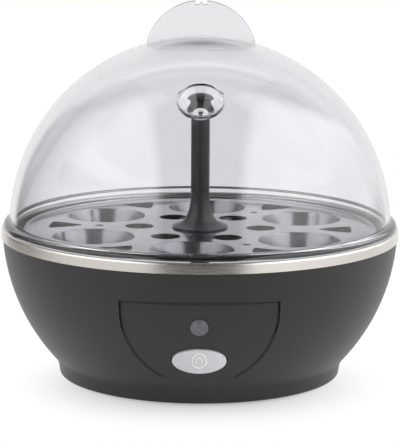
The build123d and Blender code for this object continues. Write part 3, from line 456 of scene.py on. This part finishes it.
# %% Finish of the lid
lid_finish, lid_shader = new_finish("clear_lid")
lid_shader.inputs["Base Color"].default_value = (0.895, 0.895, 0.915, 1.0)
lid_shader.inputs["Roughness"].default_value = 0.02
lid_shader.inputs["IOR"].default_value = 1.5
lid_shader.inputs["Transmission Weight"].default_value = 1.0
lamps_pass = add_node(lid_finish, "ShaderNodeBsdfTransparent")
lamps_pass.inputs["Color"].default_value = (0.93, 0.93, 0.94, 1.0)
ray_kind = add_node(lid_finish, "ShaderNodeLightPath")
pass_mix = add_node(lid_finish, "ShaderNodeMixShader")
lid_depth = add_node(lid_finish, "ShaderNodeVolumeAbsorption")
lid_depth.inputs["Color"].default_value = (0.1, 0.1, 0.15, 1.0)
lid_depth.inputs["Density"].default_value = 13.0
lid_output = lid_finish.node_tree.nodes["Material Output"]
link(lid_finish, ray_kind.outputs["Is Shadow Ray"], pass_mix.inputs[0])
link(lid_finish, lid_shader.outputs[0], pass_mix.inputs[1])
link(lid_finish, lamps_pass.outputs[0], pass_mix.inputs[2])
link(lid_finish, pass_mix.outputs[0], lid_output.inputs["Surface"])
link(lid_finish, lid_depth.outputs[0], lid_output.inputs["Volume"])
dress(lid_finish, "lid")

# %% [markdown]
# ## Small pieces on the bowl and the rack
#
# Some details are too fine for the solids: the painted shade along the control panel's step, the raised
# egg on the button, the rings in the lamp's lens, the rolled rim of the rack, the painted dark ring on the
# pan's flange and the post's head. Each is a small mesh. To seat one on a curved face, a ray is cast onto
# the solid that carries it, so each point lies on the real surface.


# %% Helpers for pieces
def surface_of(name):
    """A solid of the frame in a form that rays can be cast onto."""
    mesh = nodes[name].data
    return BVHTree.FromPolygons([v.co for v in mesh.vertices], [p.vertices for p in mesh.polygons])


def close_ring(build, low, high):
    """Faces between two rings of points."""
    for i in range(len(low)):
        j = (i + 1) % len(low)
        build.faces.new((low[i], low[j], high[j], high[i]))


def tube(build, path, radius, sides, closed):
    """A round tube of one radius along a path of points."""
    rings = []
    count = len(path)
    for i, point in enumerate(path):
        before = path[i - 1] if closed or i else point
        after = path[(i + 1) % count] if closed or i < count - 1 else point
        along = (after - before).normalized()
        side = along.cross(Vector((0.0, -1.0, 0.0))).normalized()
        front = side.cross(along)
        ring = []
        for k in range(sides):
            turn = 2.0 * pi * k / sides
            ring.append(build.verts.new(point + radius * (cos(turn) * side + sin(turn) * front)))
        rings.append(ring)
    for low, high in zip(rings, rings[1:]):
        close_ring(build, low, high)
    if closed:
        close_ring(build, rings[-1], rings[0])
    else:
        build.faces.new(rings[0])
        build.faces.new(rings[-1])


def lathe(build, outline, steps=192):
    """Turn a closed outline of (radius, height) points round the Z axis."""
    rings = []
    for k in range(steps):
        turn = 2.0 * pi * k / steps
        rings.append([build.verts.new((r * cos(turn), r * sin(turn), z)) for r, z in outline])
    for low, high in zip(rings, rings[1:] + rings[:1]):
        close_ring(build, low, high)


def finish_piece(name, build, finish, body, smooth=True):
    """Turn a bmesh into a piece with a finish, on a body of the frame."""
    bmesh.ops.recalc_face_normals(build, faces=build.faces)
    mesh = bpy.data.meshes.new(name)
    build.to_mesh(mesh)
    build.free()
    mesh.polygons.foreach_set("use_smooth", [smooth] * len(mesh.polygons))
    mesh.materials.append(finish)
    piece = bpy.data.objects.new(name, mesh)
    scene.collection.objects.link(piece)
    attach(piece, body)
    print(f"{name}: {len(mesh.polygons)} faces on {body}")
    return piece


# %% [markdown]
# ### The outline of the control panel
#
# The panel is a D-shaped insert in the bowl, set back by a small step. The shade under that step is
# painted as a dark line round it. The painted shade is widest at the middle of the top and halfway down
# the round sides. It is narrow along the short straight sides and towards the foot, where it ends. The
# outline is a half round below two short straight sides and a slightly arched top. It is worked out in the
# front view, for the left half only, and the right half is its mirror image.

# %% Panel outline
PANEL_HALF = 35.55 * MM
PANEL_ROUND_Z = 46.0 * MM
PANEL_SIDE_TOP_Z = 52.3 * MM
PANEL_TOP_Z = 53.15 * MM
SHADE_END = radians(27.0)
SHADE_FOOT_WIDTH = 0.15 * MM
SHADE_ROUND_WIDTH = 1.15 * MM
SHADE_SIDE_WIDTH = 0.3 * MM
SHADE_CORNER_WIDTH = 0.35 * MM
SHADE_TOP_WIDTH = 1.1 * MM
ARC_LENGTH = PANEL_HALF * (pi / 2.0 - SHADE_END)
SIDE_LENGTH = PANEL_SIDE_TOP_Z - PANEL_ROUND_Z
HALF_LENGTH = ARC_LENGTH + SIDE_LENGTH + PANEL_HALF


def panel_outline(share):
    """A point (x, z) of the outline, its inward direction and the width of the painted shade there.

    Share runs from 0 at the left foot end over the top to 1 at the right foot end."""
    way = 2.0 * HALF_LENGTH * share
    if way > HALF_LENGTH:
        (x, z), (inward_x, inward_z), width = panel_outline(1.0 - share)
        return (-x, z), (-inward_x, inward_z), width
    if way <= ARC_LENGTH:
        turn = way / PANEL_HALF + SHADE_END
        width = SHADE_FOOT_WIDTH + SHADE_ROUND_WIDTH * sin(pi * min(1.0, way / ARC_LENGTH)) ** 0.8
        place = (-PANEL_HALF * sin(turn), PANEL_ROUND_Z - PANEL_HALF * cos(turn))
        return place, (sin(turn), cos(turn)), width
    way -= ARC_LENGTH
    if way <= SIDE_LENGTH:
        return (-PANEL_HALF, PANEL_ROUND_Z + way), (1.0, 0.0), SHADE_SIDE_WIDTH
    x = way - SIDE_LENGTH - PANEL_HALF
    arch = cos(0.5 * pi * x / PANEL_HALF)
    top = PANEL_SIDE_TOP_Z + (PANEL_TOP_Z - PANEL_SIDE_TOP_Z) * arch
    return (x, top), (0.0, -1.0), SHADE_CORNER_WIDTH + SHADE_TOP_WIDTH * arch


print("panel outline:", round(2.0 * HALF_LENGTH / MM, 1), "mm")

# %% [markdown]
# ### The painted shade along the panel's step
#
# The shade under the step is painted: a thin black strip laid on the panel's face, right against the step.
# A real gap cut into the bowl would have to narrow to nothing, which makes poor faces. A ray towards the
# back gives the depth of each point.

# %% Painted step shade
SHADE_STEPS = 180
SHADE_SHEET = 0.12 * MM
STEP_CLEAR = 0.1 * MM
# The strip's near-black finish paints the shade that falls under the panel's step.
step_shade_finish = moulded("joint_shadow", (0.004, 0.004, 0.0045), 0.6, 0.5, 0.004)
housing_surface = surface_of("housing")
step_shade_build = bmesh.new()
step_shade_rings = []
for k in range(SHADE_STEPS + 1):
    (x, z), (inward_x, inward_z), width = panel_outline(k / SHADE_STEPS)
    far_side = STEP_CLEAR + width
    corners = ((STEP_CLEAR, 0.0), (STEP_CLEAR, SHADE_SHEET), (far_side, SHADE_SHEET), (far_side, 0.0))
    ring = []
    for inset, lift in corners:
        start = Vector((x + inset * inward_x, -120.0 * MM, z + inset * inward_z))
        place, normal, _, _ = housing_surface.ray_cast(start, Vector((0.0, 1.0, 0.0)))
        ring.append(step_shade_build.verts.new(place + normal * lift))
    step_shade_rings.append(ring)
for low, high in zip(step_shade_rings, step_shade_rings[1:]):
    close_ring(step_shade_build, low, high)
step_shade_build.faces.new(step_shade_rings[0])
step_shade_build.faces.new(step_shade_rings[-1])
finish_piece("panel_step_shade", step_shade_build, step_shade_finish, "base", smooth=False)

# %% [markdown]
# ### The egg on the button
#
# The button has a small egg raised on its face, with a shorter line inside for the shine. Both
# are thin tubes whose points are laid on the button's crowned face, with rays along the way
# that the button is pressed. An egg is an ellipse whose upper half is drawn longer than its
# lower half.

# %% Raised egg
BUTTON_FRONT = Vector((0.0, -81.5 * MM, 24.0 * MM))
EGG_SIZES = (3.1 * MM, 5.0 * MM, 3.6 * MM)
SHINE_SIZES = (1.4 * MM, 2.7 * MM, 2.0 * MM)
SHINE_TURN = 2.2
EGG_LINE = 0.28 * MM
EGG_DROP = 0.4 * MM
LINE_LIFT = 0.03 * MM
button_surface = surface_of("push_button")
press = Vector((0.0, 0.87197, 0.48956)).normalized()
button_up = Vector((0.0, -press.z, press.y))


def egg_on_button(sizes, first, last, steps):
    """Points of an egg's outline on the button, between two angles from the egg's top.

    Sizes are its half width, and its heights above and below the widest place."""
    half_width, above, below = sizes
    points = []
    for k in range(steps):
        turn = first + (last - first) * k / steps
        up = (above if cos(turn) > 0.0 else below) * cos(turn) - EGG_DROP
        middle = BUTTON_FRONT + half_width * sin(turn) * Vector((1.0, 0.0, 0.0)) + up * button_up
        place, normal, _, _ = button_surface.ray_cast(middle - press * 20.0 * MM, press)
        points.append(place + normal * LINE_LIFT)
    return points


egg_build = bmesh.new()
egg = egg_on_button(EGG_SIZES, 0.0, 2.0 * pi, 48)
tube(egg_build, egg, EGG_LINE, 10, closed=True)
shine = egg_on_button(SHINE_SIZES, -SHINE_TURN, SHINE_TURN, 24)
tube(egg_build, shine, 0.8 * EGG_LINE, 10, closed=False)
egg_finish = moulded("bright_silver", (0.9, 0.9, 0.92), 0.2, 0.3, 0.002)
finish_piece("button_egg", egg_build, egg_finish, "button")

# %% [markdown]
# ### Rings in the lamp's lens
#
# Such a lens has ring prisms that spread the light of the small lamp. They are thin raised
# rings on its face. The panel's face is the bowl's own sphere, moved back and down, so the
# lens looks away from the middle of that sphere.

# %% Lens rings
BOWL_RADIUS = 93.9 * MM
PANEL_CENTRE = Vector((0.0, 1.9 * MM, 69.97 * MM))
LENS_Z = 41.3 * MM
RING_RADII = (1.2 * MM, 2.2 * MM, 3.1 * MM)
RING_LINE = 0.16 * MM
RING_STEPS = 40
lens_surface = surface_of("indicator_lens")
lens_slope = (LENS_Z - PANEL_CENTRE.z) / BOWL_RADIUS
lens_out = Vector((0.0, -sqrt(1.0 - lens_slope**2), lens_slope))
lens_up = Vector((0.0, lens_out.z, -lens_out.y))
lens_middle = PANEL_CENTRE + lens_out * BOWL_RADIUS
lens_build = bmesh.new()
for ring_radius in RING_RADII:
    ring = []
    for k in range(RING_STEPS):
        turn = 2.0 * pi * k / RING_STEPS
        start = lens_middle + ring_radius * (cos(turn) * Vector((1.0, 0.0, 0.0)) + sin(turn) * lens_up)
        place, _, _, _ = lens_surface.ray_cast(start + lens_out * 10.0 * MM, -lens_out)
        ring.append(place)
    tube(lens_build, ring, RING_LINE, 8, closed=True)
finish_piece("lens_rings", lens_build, lens_finish, "base")

# %% [markdown]
# ### The rolled rim of the rack
#
# The edge of the steel rack is rolled into a thin bead, so that it has no sharp edge. A bead
# mirrors the room in one thin bright line and one thin dark line, which a plain edge can't.

# %% Rolled rim
RIM_BEAD = 0.75 * MM
BEAD_SIDES = 16
tray_low, tray_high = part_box("egg_tray")
tray_radius = (tray_high.x - tray_low.x) / 2.0
rim_outline = []
for k in range(BEAD_SIDES):
    turn = 2.0 * pi * k / BEAD_SIDES
    radius = tray_radius - RIM_BEAD + RIM_BEAD * cos(turn)
    rim_outline.append((radius, tray_low.z + RIM_BEAD + RIM_BEAD * sin(turn)))
rim_build = bmesh.new()
lathe(rim_build, rim_outline)
finish_piece("tray_rim", rim_build, tray_finish, "rack")

# %% [markdown]
# ### The gasket on the pan's flange
#
# Between the rack's rim and the lid lies a dark band: shade in the gap, and the dark side of the room
# mirrored there. It is painted as a flat black ring on the flange of the water pan. Its shine is nearly
# taken away, so that it stays black.

# %% Painted dark ring on the flange
DARK_RING_THICK = 0.4 * MM
DARK_RING_GAP = 0.3 * MM
DARK_RING_ROUND = 0.12 * MM
DARK_RING_LIFT = 0.02 * MM
pan_low, pan_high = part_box("water_pan")
dark_ring_inner = tray_radius + DARK_RING_GAP
dark_ring_outer = (pan_high.x - pan_low.x) / 2.0 - DARK_RING_GAP
dark_ring_low = pan_high.z + DARK_RING_LIFT
dark_ring_high = dark_ring_low + DARK_RING_THICK
dark_ring_outline = [
    (dark_ring_inner, dark_ring_low),
    (dark_ring_outer, dark_ring_low),
    (dark_ring_outer, dark_ring_high - DARK_RING_ROUND),
    (dark_ring_outer - DARK_RING_ROUND, dark_ring_high),
    (dark_ring_inner + DARK_RING_ROUND, dark_ring_high),
    (dark_ring_inner, dark_ring_high - DARK_RING_ROUND),
]
dark_ring_build = bmesh.new()
lathe(dark_ring_build, dark_ring_outline)
# A near-black finish that paints the shade and the dark reflection between the rack's rim and the lid.
dark_ring_finish = moulded("painted_dark_ring", (0.006, 0.006, 0.0065), 0.4, 0.5, 0.004)
dark_ring_shader = dark_ring_finish.node_tree.nodes["Principled BSDF"]
dark_ring_shader.inputs["Specular IOR Level"].default_value = 0.05
finish_piece("flange_painted_shade", dark_ring_build, dark_ring_finish, "base", smooth=False)

# %% [markdown]
# ### The head of the post
#
# The funnel in the lid stands right in front of the post's top, and shows it small, as a
# spreading lens does: a stem that opens into a rounded head to lift the rack by. The head is
# turned on the lathe from a short outline: a flare out of the stem, then a rounded top.

# %% Post head
STEM_RADIUS = 4.4 * MM
HEAD_RADIUS = 7.6 * MM
HEAD_FLARE = 6.0 * MM
HEAD_DOME = 4.2 * MM
HEAD_BORE = 0.6 * MM
HEAD_OVER_POST = 0.2 * MM
HEAD_STEPS = 12
_, post_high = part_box("rack_handle")
head_top = post_high.z + HEAD_OVER_POST
flare_top = head_top - HEAD_DOME
head_outline = [(HEAD_BORE, head_top), (HEAD_BORE, flare_top - HEAD_FLARE)]
for k in range(HEAD_STEPS + 1):
    turn = 0.5 * pi * k / HEAD_STEPS
    radius = STEM_RADIUS + (HEAD_RADIUS - STEM_RADIUS) * (1.0 - cos(turn))
    head_outline.append((radius, flare_top - HEAD_FLARE * (1.0 - sin(turn))))
for k in range(1, HEAD_STEPS + 1):
    turn = 0.5 * pi * k / (HEAD_STEPS + 1)
    head_outline.append((HEAD_RADIUS * cos(turn), head_top - HEAD_DOME * (1.0 - sin(turn))))
head_build = bmesh.new()
lathe(head_build, head_outline, steps=96)
finish_piece("post_head", head_build, post_finish, "rack")

# %% [markdown]
# ## The clear lid
#
# A clear lid shows every flat in its mesh, so it is made again with very even faces. The trick
# is where its grid starts: not at the top of the dome, but at the steam funnel. Columns of
# points fan out from the funnel's axis, run over the outside of the dome to the lip, round the
# lip, and back along the inside to the funnel. So one grid of quads makes dome, lip and funnel
# in one skin, with no cut and no seam. First come the lid's sizes and its directions: outward
# is the dome's radius through the funnel, and the funnel leans back from it a little.

# %% Sizes of the lid
SEAT_Z = 71.6 * MM
CENTRE_DROP = 0.9 * MM
DOME_RADIUS = 90.55 * MM
DOME_WALL = 2.0 * MM
FUNNEL_ANGLE = radians(48.8)
FUNNEL_LEAN = radians(6.3)
_, lid_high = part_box("lid")
dome_centre = Vector((0.0, 0.0, SEAT_Z - CENTRE_DROP))
to_right = Vector((1.0, 0.0, 0.0))
outward = Vector((0.0, -cos(FUNNEL_ANGLE), sin(FUNNEL_ANGLE)))
dome_uphill = Vector((0.0, outward.z, -outward.y))
funnel_axis = Vector((0.0, -cos(FUNNEL_ANGLE + FUNNEL_LEAN), sin(FUNNEL_ANGLE + FUNNEL_LEAN)))
funnel_uphill = Vector((0.0, funnel_axis.z, -funnel_axis.y))
funnel_place = dome_centre + DOME_RADIUS * outward
print("funnel at", [round(v / MM, 1) for v in funnel_place], "mm")

# %% [markdown]
# ### The funnel's section
#
# The funnel is drawn as a section: each point has a radius from the funnel's axis, and a height
# along it, which is below zero inside the dome. From the vent hole it runs over the dished
# floor, up the bulged wall, and over the bead of the rim. The back of the funnel is a straight
# line, because nobody sees its shape, only what it does to the light.

# %% Section of the funnel
VENT_RADIUS = 0.6 * MM
FLOOR_EDGE = 3.4 * MM
FLOOR_DISH = 0.9 * MM
FUNNEL_DEPTH = 7.0 * MM
FUNNEL_RIM = 10.6 * MM
WALL_BULGE = 0.5 * MM
WALL_TOP = 0.05 * MM
BEAD = 0.4 * MM
BEAD_FLATTENING = 0.6
FLOOR_STEPS = 6
WALL_STEPS = 12
BEAD_STEPS = 6
BACK_STEPS = 7
funnel_front = []
for k in range(FLOOR_STEPS + 1):
    share = k / FLOOR_STEPS
    dish = FLOOR_DISH * (1.0 - share**2)
    funnel_front.append((VENT_RADIUS + share * (FLOOR_EDGE - VENT_RADIUS), -FUNNEL_DEPTH - dish))
for k in range(1, WALL_STEPS + 1):
    share = k / WALL_STEPS
    radius = FLOOR_EDGE + share * (FUNNEL_RIM - 2.0 * BEAD - FLOOR_EDGE)
    bulge = WALL_BULGE * sin(pi * share)
    funnel_front.append((radius, -FUNNEL_DEPTH + share * (FUNNEL_DEPTH - WALL_TOP) - bulge))
for k in range(1, BEAD_STEPS):
    turn = pi * k / BEAD_STEPS
    funnel_front.append((FUNNEL_RIM - BEAD * (1.0 + cos(turn)), BEAD * BEAD_FLATTENING * sin(turn)))
back_low = (FLOOR_EDGE + 0.4 * MM, -FUNNEL_DEPTH - FLOOR_DISH - 0.3 * MM)
back_high = (FUNNEL_RIM + 1.0 * MM, 0.9 * MM)
print("funnel section:", len(funnel_front), "points")

# %% [markdown]
# ### The lip's section
#
# The lid stands on the cooker's rim with a short lip, and a spigot below it keeps it in place.
# The section starts with a small fillet out of the dome, rounds over the lip's top edge, and
# steps in to the spigot.

# %% Section of the lip
LIP_HEIGHT = 2.9 * MM
LIP_CORNER = 2.2 * MM
LIP_ROOT = 0.8 * MM
SPIGOT_RADIUS = 90.3 * MM
SPIGOT_DROP = 1.6 * MM
EDGE_ROUND = 0.15 * MM
ROOT_STEPS = 5
CORNER_STEPS = 6
lip_radius = lid_high.x
lip_top = SEAT_Z + LIP_HEIGHT
root_top = lip_top + LIP_ROOT
spigot_end = SEAT_Z - SPIGOT_DROP
root_radius = sqrt(DOME_RADIUS**2 - (root_top - dome_centre.z) ** 2)
lip_section = []
for k in range(1, ROOT_STEPS + 1):
    turn = 0.5 * pi * k / ROOT_STEPS
    radius = root_radius + LIP_ROOT * (1.0 - cos(turn))
    lip_section.append((radius, lip_top + LIP_ROOT * (1.0 - sin(turn))))
for k in range(CORNER_STEPS + 1):
    turn = 0.5 * pi * k / CORNER_STEPS
    radius = lip_radius - LIP_CORNER * (1.0 - sin(turn))
    lip_section.append((radius, lip_top - LIP_CORNER * (1.0 - cos(turn))))
lip_section += [
    (lip_radius, SEAT_Z + EDGE_ROUND),
    (lip_radius - EDGE_ROUND, SEAT_Z),
    (SPIGOT_RADIUS, SEAT_Z),
    (SPIGOT_RADIUS, spigot_end + EDGE_ROUND),
    (SPIGOT_RADIUS - EDGE_ROUND, spigot_end),
    (DOME_RADIUS - DOME_WALL + EDGE_ROUND, spigot_end),
]
print("lip section:", len(lip_section), "points")

# %% [markdown]
# ### From section to space
#
# Three functions place the points, and two small ones help them. One puts a point of the
# funnel's section into space. One finds where the section meets a sphere, by halving a line
# again and again. One walks over a sphere along a great circle, with short steps near the
# funnel and longer ones far from it.

# %% Points on the funnel and on the dome
HALVINGS = 40
STEP_GROWTH = 1.25


def on_funnel(turn, radius, height):
    """A point round the funnel's axis, with height measured outwards from the dome."""
    spoke = cos(turn) * to_right + sin(turn) * funnel_uphill
    return funnel_place + radius * spoke + height * funnel_axis


def on_section_line(inner, outer, share):
    """The (radius, height) at a share of the way from inner to outer."""
    return inner[0] + share * (outer[0] - inner[0]), inner[1] + share * (outer[1] - inner[1])


def ease(share):
    """A soft start and a soft end for a share from 0 to 1."""
    return share * share * (3.0 - 2.0 * share)


def meets_sphere(turn, sphere_radius, inner, outer):
    """Where a line of the funnel's section meets a sphere, and at what share of the line."""
    low, high = 0.0, 1.0
    for _ in range(HALVINGS):
        share = 0.5 * (low + high)
        place = on_funnel(turn, *on_section_line(inner, outer, share))
        if (place - dome_centre).length < sphere_radius:
            low = share
        else:
            high = share
    return place, share


def over_sphere(first, sphere_radius, end_z, steps):
    """Points from first along a great circle through the funnel's middle, to the height end_z.

    The first may lie off the sphere: the points come to it softly within a third of the way."""
    first_off = (first - dome_centre).length - sphere_radius
    ray = (first - dome_centre).normalized()
    start = acos(max(-1.0, min(1.0, ray.dot(outward))))
    turn = atan2(ray.dot(dome_uphill), ray.dot(to_right))
    spoke = cos(turn) * to_right + sin(turn) * dome_uphill
    reach = hypot(outward.z, spoke.z)
    end = atan2(spoke.z, outward.z) + acos((end_z - dome_centre.z) / sphere_radius / reach)
    points = []
    for k in range(1, steps + 1):
        angle = start + (end - start) * (k / steps) ** STEP_GROWTH
        radius = sphere_radius + first_off * ease(max(0.0, 1.0 - 3.0 * k / steps))
        points.append(dome_centre + radius * (cos(angle) * outward + sin(angle) * spoke))
    return points


# %% [markdown]
# ### The lid's grid
#
# Each column is one closed loop of points: funnel, outside, lip, inside, and the funnel's back.
# Uphill of the funnel the wall is thinned, which sets in at the funnel's sides. A thick wall
# there would trap the light between its two faces, and draw a broad black arc over the funnel.
# The outside and the inside reach the lip at slightly different places, so the lip's points
# turn from the one to the other.

# %% Clear lid
LID_COLUMNS = 240
DOME_STEPS = 84
COLLAR = 0.25 * MM
COLLAR_REACH = 4.0 * MM
RIM_WALL = 0.7 * MM
THIN_START = -0.35
THIN_FULL = 0.45
collar_low = (FUNNEL_RIM + COLLAR, -COLLAR_REACH)
collar_high = (FUNNEL_RIM + COLLAR, COLLAR_REACH)
lid_build = bmesh.new()
lid_columns = []
for n in range(LID_COLUMNS):
    turn = 2.0 * pi * (n + 0.5) / LID_COLUMNS
    collar, _ = meets_sphere(turn, DOME_RADIUS, collar_low, collar_high)
    outside = over_sphere(collar, DOME_RADIUS, root_top, DOME_STEPS)
    uphill = ease(max(0.0, min(1.0, (sin(turn) - THIN_START) / (THIN_FULL - THIN_START))))
    wall = DOME_WALL + (RIM_WALL - DOME_WALL) * uphill
    joint, joint_share = meets_sphere(turn, DOME_RADIUS - wall, back_low, back_high)
    inside = over_sphere(joint, DOME_RADIUS - DOME_WALL, spigot_end, DOME_STEPS)
    round_out = atan2(outside[-1].y, outside[-1].x)
    round_in = atan2(inside[-1].y, inside[-1].x)
    twist = (round_in - round_out + pi) % (2.0 * pi) - pi
    column = [on_funnel(turn, radius, height) for radius, height in funnel_front]
    column.append(collar)
    column += outside
    for i, (radius, height) in enumerate(lip_section):
        around = round_out + twist * (i + 1) / (len(lip_section) + 1)
        column.append(Vector((radius * cos(around), radius * sin(around), height)))
    column += inside[::-1]
    for i in range(BACK_STEPS + 1):
        share = joint_share * (1.0 - i / BACK_STEPS)
        column.append(on_funnel(turn, *on_section_line(back_low, back_high, share)))
    column.append(on_funnel(turn, VENT_RADIUS, back_low[1]))
    lid_columns.append([lid_build.verts.new(point) for point in column])
for left, right in zip(lid_columns, lid_columns[1:] + lid_columns[:1]):
    close_ring(lid_build, left, right)
clear_lid = finish_piece("clear_lid", lid_build, lid_finish, "lid")
clear_lid.data.set_sharp_from_angle(angle=radians(40.0))
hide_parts("lid")

# %% [markdown]
# ### The finger fin's outline
#
# The fin stands across the top of the dome: the upper part of a round disc, with a notch and a
# small pip in its top edge. Seen from the front, the disc and the dome are two circles, and
# crossing_z is the height where they cross. Only the right half is worked out, from there up to the notch.
# The left half is the same points mirrored, in reverse order.

# %% Outline of the fin
FIN_RADIUS = 26.4 * MM
FIN_CLEAR = 0.25 * MM
NOTCH_HALF = 2.85 * MM
NOTCH_DEPTH = 1.9 * MM
PIP_RADIUS = 0.9 * MM
ARC_STEPS = 56
PIP_STEPS = 8
fin_middle = Vector((0.0, 0.0, lid_high.z - FIN_RADIUS))
middle_rise = fin_middle.z - dome_centre.z
middle_squares = fin_middle.z**2 - dome_centre.z**2
crossing_z = (DOME_RADIUS**2 - FIN_RADIUS**2 + middle_squares) / (2.0 * middle_rise)
fin_start = asin((crossing_z + FIN_CLEAR - fin_middle.z) / FIN_RADIUS)
fin_end = 0.5 * pi - asin(NOTCH_HALF / FIN_RADIUS)
notch_floor = lid_high.z - NOTCH_DEPTH
fin_half = []
for k in range(ARC_STEPS + 1):
    turn = fin_start + (fin_end - fin_start) * k / ARC_STEPS
    fin_half.append((FIN_RADIUS * cos(turn), fin_middle.z + FIN_RADIUS * sin(turn)))
fin_half.append((NOTCH_HALF, notch_floor))
fin_outline = list(fin_half)
for k in range(PIP_STEPS + 1):
    turn = pi * k / PIP_STEPS
    fin_outline.append((PIP_RADIUS * cos(turn), notch_floor + PIP_RADIUS * sin(turn)))
fin_outline += [(-x, z) for x, z in reversed(fin_half)]
print("fin outline:", len(fin_outline), "points")

# %% [markdown]
# ### The fin
#
# The outline is laid in six layers from back to front. The outer layers are drawn in a little,
# which rounds the edges. The lower edge of each layer follows the dome, with a hair's gap, so
# that no clear face lies in another. The fin is lightly frosted, as the photograph shows it.

# %% Fin
FIN_THICK = 3.2 * MM
FIN_GAP = 0.02 * MM
FOOT_INSET = 0.6 * MM
FOOT_STEPS = 40
FIN_LAYERS = ((0.5, 0.5), (0.45, 0.15), (0.36, 0.0), (-0.36, 0.0), (-0.45, 0.15), (-0.5, 0.5))
fin_build = bmesh.new()
fin_rings = []
foot_x = fin_outline[0][0] - FOOT_INSET
for depth_share, inset_mm in FIN_LAYERS:
    y = depth_share * FIN_THICK
    ring = []
    for x, z in fin_outline:
        place = Vector((x, 0.0, z))
        place += (fin_middle - place).normalized() * inset_mm * MM
        ring.append(fin_build.verts.new((place.x, y, place.z)))
    for k in range(FOOT_STEPS + 1):
        x = -foot_x + 2.0 * foot_x * k / FOOT_STEPS
        z = dome_centre.z + sqrt(DOME_RADIUS**2 - x**2 - y**2) + FIN_GAP
        ring.append(fin_build.verts.new((x, y, z)))
    fin_rings.append(ring)
for low, high in zip(fin_rings, fin_rings[1:]):
    close_ring(fin_build, low, high)
fin_build.faces.new(fin_rings[0])
fin_build.faces.new(fin_rings[-1])
fin_finish = lid_finish.copy()
fin_finish.name = "frosted_fin"
fin_finish.node_tree.nodes["Principled BSDF"].inputs["Roughness"].default_value = 0.18
lid_fin = finish_piece("lid_fin", fin_build, fin_finish, "lid")
lid_fin.data.set_sharp_from_angle(angle=radians(30.0))

# %% [markdown]
# ## The floor
#
# The floor is a round white sheet. A plainly lit sheet would come out grey beside the white
# background, so the camera and polished pieces see a white of its own, mixed with its true
# shading near the cooker. That keeps the soft shadow under the bowl. Away from the cooker the
# white takes over, so that the sheet's edge is never seen.

# %% Floor sheet
FLOOR_RADIUS = 450.0 * MM
FLOOR_DROP = 0.2 * MM
floor_mesh = bpy.data.meshes.new("floor")
floor_build = bmesh.new()
bmesh.ops.create_circle(floor_build, cap_ends=True, segments=96, radius=FLOOR_RADIUS)
floor_build.to_mesh(floor_mesh)
floor_build.free()
floor = bpy.data.objects.new("floor", floor_mesh)
scene.collection.objects.link(floor)
floor.location = (0.0, 0.0, -FLOOR_DROP)
floor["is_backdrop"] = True
print("floor radius:", FLOOR_RADIUS, "m")

# %% [markdown]
# ### The floor's finish
#
# The strongest lamp stands behind the cooker, so the shadow falls towards the front. The
# distance from a point a little in front of the cooker's middle says how much of the floor's
# own white is mixed in: some where the shadow lies, all of it further out.

# %% Floor finish
SHADOW_FORWARD = 25.0 * MM
WHITE_START = 40.0 * MM
WHITE_FULL = 90.0 * MM
WHITE_LEAST = 0.42
floor_finish, floor_shader = new_finish("white_sheet")
floor_shader.inputs["Base Color"].default_value = (0.85, 0.85, 0.85, 1.0)
floor_shader.inputs["Roughness"].default_value = 0.7
floor_shader.inputs["Specular IOR Level"].default_value = 0.0
floor_tree = floor_finish.node_tree
floor_place = add_node(floor_finish, "ShaderNodeTexCoord")
from_middle = add_node(floor_finish, "ShaderNodeVectorMath", operation="ADD")
from_middle.inputs[1].default_value = (0.0, SHADOW_FORWARD, 0.0)
distance = add_node(floor_finish, "ShaderNodeVectorMath", operation="LENGTH")
link(floor_finish, floor_place.outputs["Object"], from_middle.inputs[0])
link(floor_finish, from_middle.outputs["Vector"], distance.inputs[0])
own_white = soft_step(floor_tree, distance.outputs["Value"], WHITE_START, WHITE_FULL, WHITE_LEAST, 1.0)
floor_rays = add_node(floor_finish, "ShaderNodeLightPath")
floor_seen = calc(floor_tree, "MAXIMUM", seen_straight(floor_tree), floor_rays.outputs["Is Glossy Ray"])
floor_white = add_node(floor_finish, "ShaderNodeEmission")
floor_white.inputs["Color"].default_value = (1.0, 1.0, 1.0, 1.0)
floor_white.inputs["Strength"].default_value = 1.0
floor_mix = add_node(floor_finish, "ShaderNodeMixShader")
link(floor_finish, calc(floor_tree, "MULTIPLY", own_white, floor_seen), floor_mix.inputs[0])
link(floor_finish, floor_shader.outputs[0], floor_mix.inputs[1])
link(floor_finish, floor_white.outputs[0], floor_mix.inputs[2])
link(floor_finish, floor_mix.outputs[0], floor_tree.nodes["Material Output"].inputs["Surface"])
floor_mesh.materials.append(floor_finish)
print("floor finish:", len(floor_tree.nodes), "nodes")

# %% [markdown]
# ## The end
#
# The sizes of the solids alone and of the dressed model are gathered side by side, so that they can be
# compared.

boxes = [[list(corner) for corner in solid_box], [list(corner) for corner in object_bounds()]]
